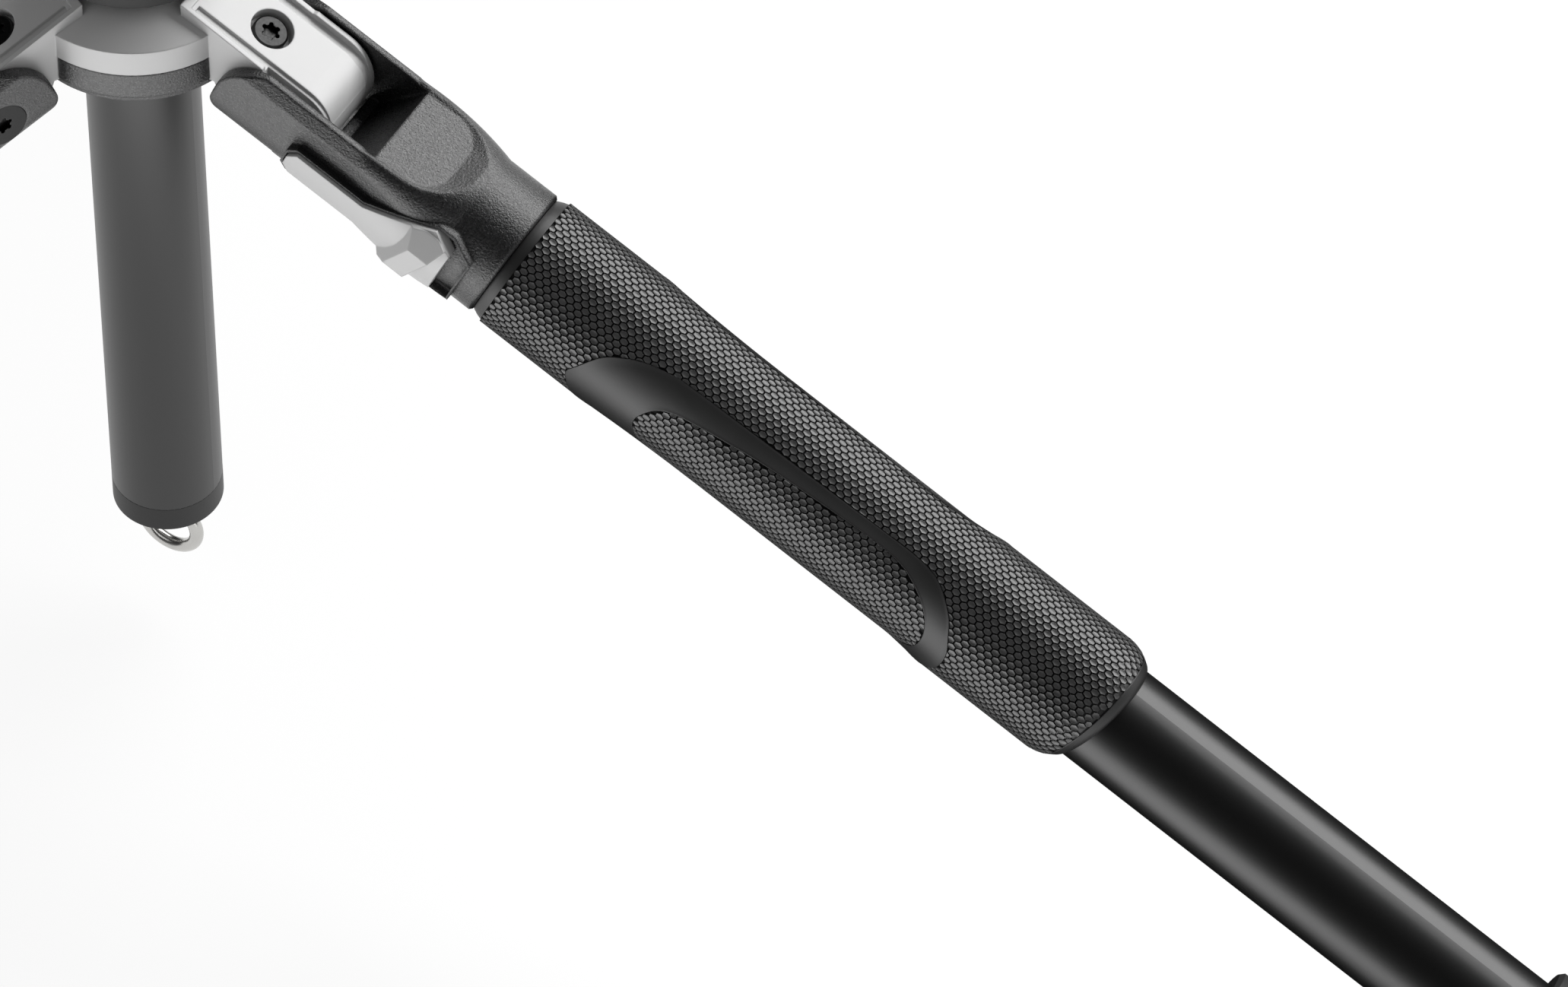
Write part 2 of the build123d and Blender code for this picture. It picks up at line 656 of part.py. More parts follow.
# Crown: a silver casting with a ring round the column, a domed cover and an arm to each lug
with BuildPart() as crown:
    with BuildSketch(arm_plane(0)):
        with BuildLine():
            Polyline(
                (column_radius, crown_bottom),
                (crown_ring_radius, crown_bottom),
                (crown_ring_radius, crown_cover_edge),
                (crown_lobe_radius, crown_cover_edge),
                (crown_lobe_radius, face_height(crown_lobe_radius) - crown_cover_drop),
                (column_radius, face_height(column_radius) - crown_cover_drop),
                close=True,
            )
        make_face()
    revolve(axis=Axis.Z)
    # the cover leaves room for the ears of each leg
    for number in range(leg_count):
        with BuildSketch(arm_plane(number)):
            with Locations((leg_room + half_extrusion / 2, 0)):
                Rectangle(half_extrusion, 2 * half_extrusion)
        extrude(amount=leg_room_half, both=True, mode=Mode.SUBTRACT)
    for number in range(leg_count):
        arm = arm_plane(number)
        leg = leg_plane(number)
        with BuildSketch(arm):
            with Locations((pivot_radius, 0)):
                Circle(lug_radius)
            with BuildLine():
                Polyline(
                    (arm_inner, crown_bottom),
                    (arm_root, crown_bottom),
                    (pivot_radius - lug_radius * cos(radians(40)), -lug_radius * sin(radians(40))),
                    (pivot_radius, 0),
                    (pivot_radius + 1, lug_face_at_pivot),
                    (arm_inner, arm_top),
                    close=True,
                )
            make_face()
        extrude(amount=lug_half_width, both=True)
        # everything above the rims goes, then the flat face and the two grooves beside it
        with BuildSketch(leg):
            above_nose(lug_rim_height, -3 * lug_radius)
        extrude(amount=lug_half_width, both=True, mode=Mode.SUBTRACT)
        with BuildSketch(leg):
            above_nose(lug_face_height, -2 * lug_radius - 1)
        extrude(amount=lug_face_half_width + lug_groove_width, both=True, mode=Mode.SUBTRACT)
        for side in (1, -1):
            with BuildSketch(leg.offset(side * lug_face_half_width)):
                above_nose(lug_face_height - lug_groove_depth, -2 * lug_radius)
            extrude(amount=side * lug_groove_width, mode=Mode.SUBTRACT)
        # bevel along the lower edges of the lug
        start = radians(lug_bevel_from)
        across = Plane(
            origin=leg.origin,
            x_dir=arm.x_dir * cos(start) + arm.y_dir * sin(start),
            z_dir=arm.x_dir * sin(start) - arm.y_dir * cos(start),
        )
        with BuildSketch(across):
            for side in (1, -1):
                Polygon(
                    (lug_radius + 0.35, side * (lug_half_width - lug_bevel_across - 0.24)),
                    (lug_radius + 0.35, side * (lug_half_width + 0.24)),
                    (lug_radius - lug_bevel_inwards - 0.35, side * (lug_half_width + 0.24)),
                    align=None,
                )
        revolve(axis=Axis(leg.origin, arm.z_dir), revolution_arc=lug_bevel_round, mode=Mode.SUBTRACT)
    # bore for the column's bush
    with BuildSketch(level(crown_bottom - 1)):
        Circle(bush_radius + running_fit)
    extrude(amount=half_extrusion * 2, mode=Mode.SUBTRACT)
    for number in range(leg_count):
        arm = arm_plane(number)
        leg = leg_plane(number)
        # bore for the pivot bolt's bushes
        with BuildSketch(arm):
            with Locations((pivot_radius, 0)):
                Circle(bush_outer + running_fit)
        extrude(amount=lug_half_width, both=True, mode=Mode.SUBTRACT)
        # step round the lug's selector side, with a notch for each leg angle
        with BuildSketch(arm.offset(lug_half_width - index_depth)):
            with Locations((pivot_radius, 0)):
                Circle(lug_radius + 1)
                Circle(index_radius, mode=Mode.SUBTRACT)
            with Locations((pivot_radius - lug_radius - tooth_half - slider_gap, 0)):
                Rectangle(2 * lug_radius, 4 * lug_radius, mode=Mode.SUBTRACT)
            for angle in stop_angles:
                turn = angle - 90
                notch = index_radius - index_notch_depth / 2
                place = (pivot_radius + notch * cos(radians(turn)), notch * sin(radians(turn)))
                with Locations(Location(place, turn)):
                    Rectangle(index_notch_depth, index_notch_width)
        extrude(amount=index_depth, mode=Mode.SUBTRACT)
        # counterbore and thread hole of the arm's screw
        face_plane = Plane(
            origin=leg.from_local_coords(Vector(arm_screw_reach, lug_face_height, 0)),
            x_dir=leg.x_dir,
            z_dir=leg.y_dir,
        )
        with BuildSketch(face_plane):
            Circle(arm_screw_bore_radius)
        extrude(amount=-arm_screw_head_height - arm_screw_sunk, mode=Mode.SUBTRACT)
        with BuildSketch(face_plane):
            Circle(arm_screw_radius + running_fit)
        extrude(amount=-arm_screw_length - arm_screw_sunk - 1, mode=Mode.SUBTRACT)

write_piece(crown, "crown")

# Bushes in the lugs, two to a lug, whose flanges space the ears from it
with BuildPart() as pivot_bush:
    with BuildSketch(Plane.XY.offset(lug_half_width)):
        Circle(bush_flange_radius)
    extrude(amount=bush_flange)
    with BuildSketch(Plane.XY.offset(lug_half_width - bush_length)):
        Circle(bush_outer)
    extrude(amount=bush_length)
    with BuildSketch(Plane.XY.offset(lug_half_width - bush_length)):
        Circle(bolt_radius + running_fit)
    extrude(amount=bush_length + bush_flange, mode=Mode.SUBTRACT)

with BuildPart() as pivot_bushes:
    for number in range(leg_count):
        pivot = leg_plane(number)
        for facing in (pivot, Plane(pivot.origin, x_dir=pivot.x_dir, z_dir=-pivot.z_dir)):
            add(facing.location * pivot_bush.part)

write_piece(pivot_bushes, "pivot_bushes")

# Six-lobe screws in the arms
with BuildPart() as arm_screw:
    with BuildSketch(Plane.XY.offset(-arm_screw_sunk - arm_screw_head_height)):
        Circle(arm_screw_head_radius)
    extrude(amount=arm_screw_head_height)
    chamfer(edges().group_by(Axis.Z)[-1], arm_screw_head_height / 6)
    with BuildSketch(Plane.XY.offset(-arm_screw_sunk - arm_screw_length)):
        Circle(arm_screw_radius)
    extrude(amount=arm_screw_length - arm_screw_head_height / 2)
    with BuildSketch(Plane.XY.offset(-arm_screw_sunk)):
        six_lobe(recess_radius)
    extrude(amount=-recess_depth, mode=Mode.SUBTRACT)

with BuildPart() as arm_screws:
    for number in range(leg_count):
        leg = leg_plane(number)
        face_plane = Plane(
            origin=leg.from_local_coords(Vector(arm_screw_reach, lug_face_height, 0)),
            x_dir=leg.x_dir,
            z_dir=leg.y_dir,
        )
        add(face_plane.location * arm_screw.part)

write_piece(arm_screws, "arm_screws")

# Hub: the black casting under and between the crown's arms
with BuildPart() as hub:
    with BuildSketch(level(hub_bottom)):
        Circle(hub_radius)
    extrude(amount=hub_thickness)
    chamfer(edges().group_by(Axis.Z)[0], hub_edge)
    with BuildSketch(level(crown_bottom)):
        Circle(crown_lobe_radius)
        Circle(crown_ring_radius + part_gap, mode=Mode.SUBTRACT)
        for number in range(leg_count):
            with Locations(Location((0, 0, 0), 360 / leg_count * number)):
                with Locations((half_extrusion, 0)):
                    Rectangle(2 * half_extrusion, 2 * (lug_half_width + part_gap),
                              mode=Mode.SUBTRACT)
    extrude(amount=crown_cover_edge - crown_bottom)
    for number in range(leg_count):
        with BuildSketch(arm_plane(number)):
            with Locations((leg_room + half_extrusion / 2, 0)):
                Rectangle(half_extrusion, 2 * half_extrusion)
        extrude(amount=leg_room_half, both=True, mode=Mode.SUBTRACT)
    with BuildSketch(level(hub_bottom)):
        Circle(column_radius + part_gap)
    extrude(amount=hub_thickness, mode=Mode.SUBTRACT)

write_piece(hub, "hub")

# Bush that guides the column through the crown
with BuildPart() as column_bush:
    with BuildSketch(level(crown_bottom)):
        Circle(bush_radius)
        Circle(column_radius + running_fit, mode=Mode.SUBTRACT)
    extrude(amount=bush_top - crown_bottom)

write_piece(column_bush, "column_bush")

# Twist collar that clamps the column
with BuildPart() as column_lock:
    with BuildSketch(level(lock_bottom)):
        Circle(lock_radius)
    extrude(amount=lock_top - lock_bottom)
    chamfer(edges(), lock_edge)
    with BuildSketch(level(lock_bottom + nut_shoulder)):
        with PolarLocations(lock_radius + lock_flute_radius * 0.5, lock_flute_count):
            Circle(lock_flute_radius)
    extrude(amount=lock_top - lock_bottom - 2 * nut_shoulder, mode=Mode.SUBTRACT)
    with BuildSketch(level(lock_bottom)):
        Circle(bush_radius + running_fit)
    extrude(amount=lock_top - lock_bottom - lock_lip, mode=Mode.SUBTRACT)
    with BuildSketch(level(lock_bottom)):
        Circle(column_radius + part_gap)
    extrude(amount=lock_top - lock_bottom, mode=Mode.SUBTRACT)

write_piece(column_lock, "column_lock")

# Column with its head plate, stud and set screws on top
with BuildPart() as column:
    with BuildSketch(level(column_bottom)):
        Circle(column_radius)
        Circle(column_radius - column_wall, mode=Mode.SUBTRACT)
    extrude(amount=column_length)

write_piece(column, "column")

with BuildPart() as head_plate:
    with BuildSketch(Plane.XY.offset(-plate_height)):
        Circle(plate_radius)
    extrude(amount=plate_height)
    chamfer(edges(), plate_edge)
    with BuildSketch(Plane.XY.offset(-plate_height - plate_plug)):
        Circle(column_radius - column_wall - glue_gap)
    extrude(amount=plate_plug)
    with BuildSketch(Plane.XY.offset(-stud_root)):
        Circle(stud_root_radius + glue_gap)
    extrude(amount=stud_root, mode=Mode.SUBTRACT)
    with BuildSketch(Plane.XY.offset(-plate_height)):
        with PolarLocations(set_screw_circle, leg_count):
            Circle(set_screw_radius + glue_gap)
    extrude(amount=plate_height, mode=Mode.SUBTRACT)

write_piece(head_plate, "head_plate")

with BuildPart() as head_stud:
    with BuildSketch(Plane.XY.offset(-stud_root)):
        Circle(stud_root_radius)
    extrude(amount=stud_root)
    with BuildSketch(Plane.XY):
        Circle(stud_radius)
    extrude(amount=stud_height)
    chamfer(edges().group_by(Axis.Z)[-1], stud_chamfer)

write_piece(head_stud, "head_stud")

with BuildPart() as plate_set_screws:
    with BuildSketch(Plane.XY.offset(-plate_height + part_gap)):
        with PolarLocations(set_screw_circle, leg_count):
            Circle(set_screw_radius)
    extrude(amount=plate_height - 2 * part_gap)

write_piece(plate_set_screws, "plate_set_screws")

# Cap in the column's lower end, with a swivelling hook for ballast
with BuildPart() as column_cap:
    with BuildSketch(level(column_bottom - cap_height)):
        Circle(column_radius)
    extrude(amount=cap_height)
    chamfer(edges().group_by(Axis.Z)[0], cap_edge)
    with BuildSketch(level(column_bottom)):
        Circle(column_radius - column_wall - glue_gap)
    extrude(amount=cap_plug)
    with BuildSketch(level(column_bottom - cap_height + cap_floor)):
        Circle(cap_cavity_radius)
    extrude(amount=cap_height + cap_plug, mode=Mode.SUBTRACT)
    with BuildSketch(level(column_bottom - cap_height)):
        Circle(hook_shank_radius + running_fit)
    extrude(amount=cap_floor, mode=Mode.SUBTRACT)

write_piece(column_cap, "column_cap")

with BuildPart() as hook:
    hook_top = column_bottom - cap_height + cap_floor + side_gap
    ring_centre = column_bottom - cap_height - hook_neck - hook_ring_radius
    with BuildSketch(level(hook_top)):
        Circle(hook_head_radius)
    extrude(amount=hook_head_height)
    with BuildSketch(level(ring_centre + hook_ring_radius)):
        Circle(hook_shank_radius)
    extrude(amount=hook_top - ring_centre - hook_ring_radius + hook_head_height / 2)
    ring_plane = Plane(origin=(0, 0, pivot_z + ring_centre), x_dir=(1, 0, 0), z_dir=(0, -1, 0))
    with BuildSketch(ring_plane.rotated((90, 0, 0))):
        with Locations((hook_ring_radius, 0)):
            Circle(hook_wire)
    revolve(axis=Axis(ring_plane.origin, ring_plane.z_dir))

write_piece(hook, "hook")
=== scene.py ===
# %% [markdown]
# # A travel tripod, looked at from close by
# The model of the tripod already exists as solid parts. This lesson dresses it: it gives every part the
# surface that the real one has, and makes by hand the one piece whose charm is in fine detail, the
# rubber grip with its honeycomb. Everything is in metres, in the same frame as the solid parts, so a
# piece made here drops straight onto the leg it belongs to.

# %% Load the solid parts
import math

import bmesh
import bpy
import numpy as np
from mathutils import Matrix, Vector


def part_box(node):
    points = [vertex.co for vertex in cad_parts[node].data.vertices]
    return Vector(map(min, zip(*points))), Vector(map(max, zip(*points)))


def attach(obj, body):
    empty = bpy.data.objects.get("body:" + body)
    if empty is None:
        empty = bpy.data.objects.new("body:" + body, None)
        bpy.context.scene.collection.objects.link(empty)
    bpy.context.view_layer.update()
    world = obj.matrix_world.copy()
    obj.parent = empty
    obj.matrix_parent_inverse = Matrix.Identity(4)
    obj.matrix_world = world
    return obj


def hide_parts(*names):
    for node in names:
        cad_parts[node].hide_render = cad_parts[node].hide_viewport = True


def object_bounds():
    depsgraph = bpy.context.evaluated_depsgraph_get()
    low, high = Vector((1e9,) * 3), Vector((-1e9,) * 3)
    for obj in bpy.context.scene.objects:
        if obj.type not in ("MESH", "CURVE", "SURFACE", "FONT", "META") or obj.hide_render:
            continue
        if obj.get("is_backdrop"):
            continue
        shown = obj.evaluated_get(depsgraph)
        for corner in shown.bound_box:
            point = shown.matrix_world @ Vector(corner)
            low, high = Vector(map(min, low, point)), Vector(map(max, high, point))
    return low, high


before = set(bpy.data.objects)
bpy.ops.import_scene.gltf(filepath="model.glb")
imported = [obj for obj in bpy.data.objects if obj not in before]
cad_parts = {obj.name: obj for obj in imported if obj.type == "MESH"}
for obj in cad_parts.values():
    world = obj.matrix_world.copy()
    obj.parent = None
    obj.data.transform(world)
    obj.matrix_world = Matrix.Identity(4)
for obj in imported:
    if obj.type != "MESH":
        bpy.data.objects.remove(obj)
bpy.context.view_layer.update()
scene = bpy.context.scene
print("parts loaded:", len(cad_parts))

# %% [markdown]
# ## The leg as a ruler
# Nearly everything in view sits on one leg, and a leg at 66 degrees is awkward to measure in x, y and z.
# So the first leg, which points along x, gets a ruler of its own: a distance down the tube from its
# pivot, and an angle round the tube, counted from the front of the leg towards the side with the angle
# selector. Millimetres go in and a point in metres comes out.

# %% A ruler for the first leg
MM = 0.001
PIVOT_RADIUS = 0.040
SPREAD = math.radians(66)
bolt_low, bolt_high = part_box("pivot_bolt_1")
PIVOT_HEIGHT = (bolt_low[2] + bolt_high[2]) / 2

# The pivot, and the directions down the leg, out of its front and towards its selector.
pivot_1 = np.array([PIVOT_RADIUS, 0, PIVOT_HEIGHT])
down_1 = np.array([math.sin(SPREAD), 0, -math.cos(SPREAD)])
front_1 = np.array([math.cos(SPREAD), 0, math.sin(SPREAD)])
side_1 = np.array([0.0, -1.0, 0.0])


def round_leg(along, angle, radius):
    """Points in metres from distances down the leg (mm), angles (degrees) and radii (mm)."""
    along, angle, radius = np.broadcast_arrays(along, np.radians(angle), radius)
    across = np.cos(angle)[..., None] * front_1 + np.sin(angle)[..., None] * side_1
    return pivot_1 + MM * (along[..., None] * down_1 + radius[..., None] * across)


print("pivot at", pivot_1.round(5))

# %% [markdown]
# ## Where the photographer stood
# The photograph looks down on the front of one leg, a little from its selector side. The two edges of
# the tube are parallel in it, so the lens was very long. The camera here stands 2.4 metres from the leg,
# square to it and upright. From there a leg at 66 degrees has the slant that it has in the photograph.

# %% The camera
# Angle round the leg from its front, distance from it, and focal length in mm.
VIEW_ROUND = math.radians(34.95)
DISTANCE = 2.4
FOCAL_LENGTH = 257.5
# The middle of the picture: down the leg from its pivot, and across it.
AIM_ALONG, AIM_ACROSS = 0.1359, -0.0051

towards_camera = math.cos(VIEW_ROUND) * front_1 + math.sin(VIEW_ROUND) * side_1
across_picture = math.sin(VIEW_ROUND) * front_1 - math.cos(VIEW_ROUND) * side_1
aim = pivot_1 + AIM_ALONG * down_1 + AIM_ACROSS * across_picture

lens = bpy.data.cameras.new("camera")
lens.lens = FOCAL_LENGTH
lens.clip_start = 0.02
lens.dof.use_dof = False
camera = bpy.data.objects.new("camera", lens)
camera.location = Vector(aim + DISTANCE * towards_camera)
camera.rotation_euler = Vector(-towards_camera).to_track_quat("-Z", "Y").to_euler()
scene.collection.objects.link(camera)
scene.camera = camera
print("camera at", [round(value, 3) for value in camera.location])

# %% [markdown]
# ## Light for black on white
# A black satin tube shows nothing but what it mirrors. The photograph has two soft grey streaks along
# the tube, black between them and black at both edges. Two long soft boxes parallel to the leg give
# that, 80 degrees to either side of the camera as seen round the leg: a large one above and a narrow
# strip close below.

# %% Long soft boxes along the leg
# Angle from the camera's direction, as seen round the leg, and the boxes' middle down the leg.
BOX_ROUND = math.radians(80)
BOX_ALONG = 0.14
leg_middle = pivot_1 + BOX_ALONG * down_1


def soft_box(name, angle, distance, length, width, power):
    """Area lamp beside the leg, at an angle round it, with its long side along the leg."""
    direction = math.cos(angle) * front_1 + math.sin(angle) * side_1
    lamp = bpy.data.lights.new(name, "AREA")
    lamp.shape = "RECTANGLE"
    lamp.size, lamp.size_y = length, width
    lamp.energy = power
    holder = bpy.data.objects.new(name, lamp)
    x_axis, z_axis = Vector(down_1), Vector(direction)
    turn = Matrix((x_axis, z_axis.cross(x_axis), z_axis)).transposed()
    holder.matrix_world = Matrix.Translation(Vector(leg_middle + distance * direction)) @ turn.to_4x4()
    holder.visible_camera = False
    scene.collection.objects.link(holder)


soft_box("box_above", VIEW_ROUND - BOX_ROUND, distance=0.9, length=1.5, width=0.66, power=15.5)
soft_box("strip_below", VIEW_ROUND + BOX_ROUND, distance=0.13, length=0.5, width=0.085, power=0.26)
print("soft boxes:", len(bpy.data.lights))

# %% [markdown]
# ## A black card behind the leg
# White paper would shine in both edges of the tube. A photographer hides it with a black card curved
# round the back of the leg. Here the card is a strip of faces that only mirror rays see, so that it
# can't show in the picture itself.

# %% The card
# Radius in mm, the angles round the leg that it spans, its two ends down the leg in mm, and its folds.
CARD_RADIUS, CARD_FROM, CARD_TO = 60, 136, 294
CARD_ENDS = np.array([60.0, 350.0])
CARD_FOLDS = 17

card_points, card_faces = [], []
for fold, angle in enumerate(np.linspace(CARD_FROM, CARD_TO, CARD_FOLDS)):
    card_points += list(round_leg(CARD_ENDS, angle, CARD_RADIUS))
    if fold:
        card_faces.append((2 * fold - 2, 2 * fold - 1, 2 * fold + 1, 2 * fold))
card_mesh = bpy.data.meshes.new("black_card")
card_mesh.from_pydata([tuple(p) for p in card_points], [], card_faces)
card = bpy.data.objects.new("black_card", card_mesh)
card.visible_camera = card.visible_diffuse = card.visible_transmission = card.visible_shadow = False
scene.collection.objects.link(card)
card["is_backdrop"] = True
print("card faces:", len(card_faces))

# %% [markdown]
# ## Colours and nodes
# Colours are written as sRGB hex values, the way a paint card or a screen picker gives them. The
# shader works in linear light, so one function turns the one into the other. A second small function
# adds a node to any tree, with its settings, its fixed values and its incoming links. A third starts a
# material from its name, colour and roughness.

# %% Three small helpers


def ink(code):
    """Linear colour from an sRGB hex value."""
    parts = [int(code[i:i + 2], 16) / 255 for i in (0, 2, 4)]
    return (*[p / 12.92 if p <= 0.04045 else ((p + 0.055) / 1.055) ** 2.4 for p in parts], 1)


def put(tree, kind, inputs=None, **settings):
    """Add one node; an input given a socket is linked to it, any other value is set."""
    node = tree.nodes.new(kind)
    for name, value in settings.items():
        setattr(node, name, value)
    for name, value in (inputs or {}).items():
        if isinstance(value, bpy.types.NodeSocket):
            tree.links.new(value, node.inputs[name])
        else:
            node.inputs[name].default_value = value
    return node


def surface(name, colour, roughness, **sockets):
    """New material with one Principled shader; returns the material, its tree and the shader."""
    material = bpy.data.materials.new(name)
    material.use_nodes = True
    tree = material.node_tree
    shader = tree.nodes["Principled BSDF"]
    shader.inputs["Base Color"].default_value = ink(colour)
    shader.inputs["Roughness"].default_value = roughness
    for socket, value in sockets.items():
        shader.inputs[socket.replace("_", " ")].default_value = value
    material.diffuse_color = ink(colour)
    return material, tree, shader


card_mesh.materials.append(surface("black_velvet_card", "050505", 1.0, Specular_IOR_Level=0.0)[0])
print("first material:", card_mesh.materials[0].name)

# %% [markdown]
# ## White paper under the tripod
# The backdrop of the photograph is pure white, but a lamp strong enough to burn a floor to white would
# burn the silver paint too. A Light Path node solves this: what the camera or a mirror sees is mixed
# with a plain white glow, and the rest of the floor is ordinary matt paper, so a soft shadow stays.

# %% The floor
FLOOR_HALF = 6
PAPER_GLOW = 0.86
floor_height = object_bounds()[0][2]
floor_mesh = bpy.data.meshes.new("floor")
floor_corners = [(x * FLOOR_HALF, y * FLOOR_HALF, floor_height)
                 for x, y in ((-1, -1), (1, -1), (1, 1), (-1, 1))]
floor_mesh.from_pydata(floor_corners, [], [(0, 1, 2, 3)])
floor = bpy.data.objects.new("floor", floor_mesh)
scene.collection.objects.link(floor)

# Uncoated paper: white and dull, with a felt of fibres about a millimetre long.
paper, tree, shader = surface("matt_white_paper", "F0F0F0", 0.9)
place = put(tree, "ShaderNodeTexCoord").outputs["Object"]
fibre = put(tree, "ShaderNodeTexNoise", {"Vector": place, "Scale": 900.0, "Detail": 3.0})
felt = put(tree, "ShaderNodeBump", {"Height": fibre.outputs["Fac"], "Strength": 0.2, "Distance": 0.0001})
tree.links.new(felt.outputs["Normal"], shader.inputs["Normal"])
rays = put(tree, "ShaderNodeLightPath").outputs
seen = put(tree, "ShaderNodeMath", {0: rays["Is Camera Ray"], 1: rays["Is Glossy Ray"]},
           operation="MAXIMUM")
seen = put(tree, "ShaderNodeMath", {0: seen.outputs[0], 1: rays["Is Transmission Ray"]},
           operation="MAXIMUM")
share = put(tree, "ShaderNodeMath", {0: seen.outputs[0], 1: PAPER_GLOW}, operation="MULTIPLY")
glow = put(tree, "ShaderNodeEmission", {"Color": (1, 1, 1, 1), "Strength": 1.0})
both = put(tree, "ShaderNodeMixShader", {0: share.outputs[0], 1: shader.outputs[0], 2: glow.outputs[0]})
tree.links.new(both.outputs[0], tree.nodes["Material Output"].inputs["Surface"])
floor_mesh.materials.append(paper)
floor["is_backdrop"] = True
print("floor at", round(floor_height, 4))

# %% [markdown]
# ## The room
# Past the paper the camera sees a plain white room, at a strength of 1. The tube must not mirror it, or
# its black would wash out, so for mirror rays the same room is nearly dark. Matt faces get a soft fill
# from it, between the two: it opens the shadows without a lamp of its own.

# %% The sky
SKY_SEEN, SKY_MIRRORED, SKY_FILL = 1.0, 0.04, 0.36
sky = bpy.data.worlds.new("studio")
sky.use_nodes = True
scene.world = sky
tree = sky.node_tree
rays = put(tree, "ShaderNodeLightPath").outputs
seen = put(tree, "ShaderNodeMath", {0: rays["Is Camera Ray"], 1: rays["Is Transmission Ray"]},
           operation="MAXIMUM")
fill = put(tree, "ShaderNodeMapRange", {"Value": rays["Is Diffuse Ray"], "To Min": SKY_MIRRORED,
                                        "To Max": SKY_FILL})
level = put(tree, "ShaderNodeMapRange", {"Value": seen.outputs[0], "To Min": fill.outputs["Result"],
                                         "To Max": SKY_SEEN})
background = tree.nodes["Background"]
background.inputs["Color"].default_value = (1, 1, 1, 1)
tree.links.new(level.outputs["Result"], background.inputs["Strength"])
scene.view_settings.view_transform = "Standard"
print("world:", scene.world.name)

# %% [markdown]
# ## Edges and grain
# No real edge is knife-sharp: paint and moulds round it by a few tenths of a millimetre, and that
# narrow round is what catches the light. The solid parts have crisp edges, so each material starts its
# relief from a Bevel node, which bends the shading normal round an edge without touching the mesh. A
# fine noise then gives the skin its grain, as relief, as a change of gloss, or as both.

# %% Relief, grain and mottled gloss


def rounded_relief(tree, shader, edge, layers):
    """Round edges by a radius in metres, then add (height socket, depth in metres, strength) layers."""
    normal = put(tree, "ShaderNodeBevel", {"Radius": edge}, samples=6).outputs["Normal"]
    for height, depth, strength in layers:
        normal = put(tree, "ShaderNodeBump", {"Height": height, "Distance": depth, "Strength": strength,
                                              "Normal": normal}).outputs["Normal"]
    tree.links.new(normal, shader.inputs["Normal"])


def grain(tree, size, detail=2.0, roughness=0.5):
    """Noise whose grains are about a size in millimetres across, on the object's own place."""
    place = put(tree, "ShaderNodeTexCoord").outputs["Object"]
    return put(tree, "ShaderNodeTexNoise", {"Vector": place, "Scale": 1000.0 / size, "Detail": detail,
                                            "Roughness": roughness}).outputs["Fac"]


def stretched(tree, noise, low, high, noise_low=0.3, noise_high=0.7):
    """The middle part of a noise, stretched to run from a low to a high value."""
    return put(tree, "ShaderNodeMapRange", {"Value": noise, "From Min": noise_low, "From Max": noise_high,
                                            "To Min": low, "To Max": high}).outputs["Result"]


# %% [markdown]
# ## Silver paint
# The crown and the selectors are aluminium castings under a satin silver lacquer. Lacquer with metal
# flakes is bright and soft at once: a broad highlight, a faint sparkle from the flakes and the slight
# orange peel that every sprayed coat has. It is neither a mirror nor a chalky grey, so the shader is
# a fifth metallic and fairly rough.

# %% Satin silver lacquer
# Sprayed flake lacquer on cast aluminium: pale, with a wide soft highlight. The flakes are really
# 0.05 mm across and are drawn at 0.2 mm so that they show at all. The orange peel is 1.2 mm across.
silver_paint, tree, shader = surface("satin_silver_lacquer", "BABABA", 0.46, Metallic=0.2)
tree.links.new(stretched(tree, grain(tree, 0.2), 0.42, 0.54), shader.inputs["Roughness"])
rounded_relief(tree, shader, 0.0005, [(grain(tree, 1.2), 0.00002, 0.25)])
print("finish:", silver_paint.name)

# %% [markdown]
# ## Black textured casting
# The leg brackets are cast magnesium in a fine-textured black powder coat. Each tiny bump has a shiny
# top, so where a face turns to the light the black breaks up into a field of pale grains. A bump map
# of small grains over a fairly glossy black does the same.

# %% Textured black powder coat
# Powder coat with a fine wrinkle: black in the shade, grainy grey in the light. The grains are really
# 0.2 mm across and are drawn at 0.5 mm so that they show. The thick coat rounds every cast edge widely.
cast_black, tree, shader = surface("textured_black_powder_coat", "141415", 0.32, Specular_IOR_Level=1.0)
rounded_relief(tree, shader, 0.0011, [(grain(tree, 0.5, 3.0, 0.65), 0.0003, 0.7)])
speck = stretched(tree, grain(tree, 0.45), 0.24, 0.46, noise_low=0.35)
tree.links.new(speck, shader.inputs["Roughness"])
print("finish:", cast_black.name)

# %% [markdown]
# ## Black anodised tube
# Anodising turns the skin of an aluminium tube into a thin, dyed, glassy layer. It keeps the fine
# etched matt of the metal below, so it mirrors the soft boxes as blurred streaks with black between.

# %% Satin black anodising
# Etched, dyed and sealed aluminium: deep black with soft grey streaks. Etch grain 0.15 mm.
black_anodised, tree, shader = surface("black_anodised_aluminium", "050505", 0.38, Specular_IOR_Level=0.75)
tree.links.new(stretched(tree, grain(tree, 0.15), 0.35, 0.41), shader.inputs["Roughness"])
rounded_relief(tree, shader, 0.0002, [(grain(tree, 0.3), 0.000004, 0.3)])
print("finish:", black_anodised.name)
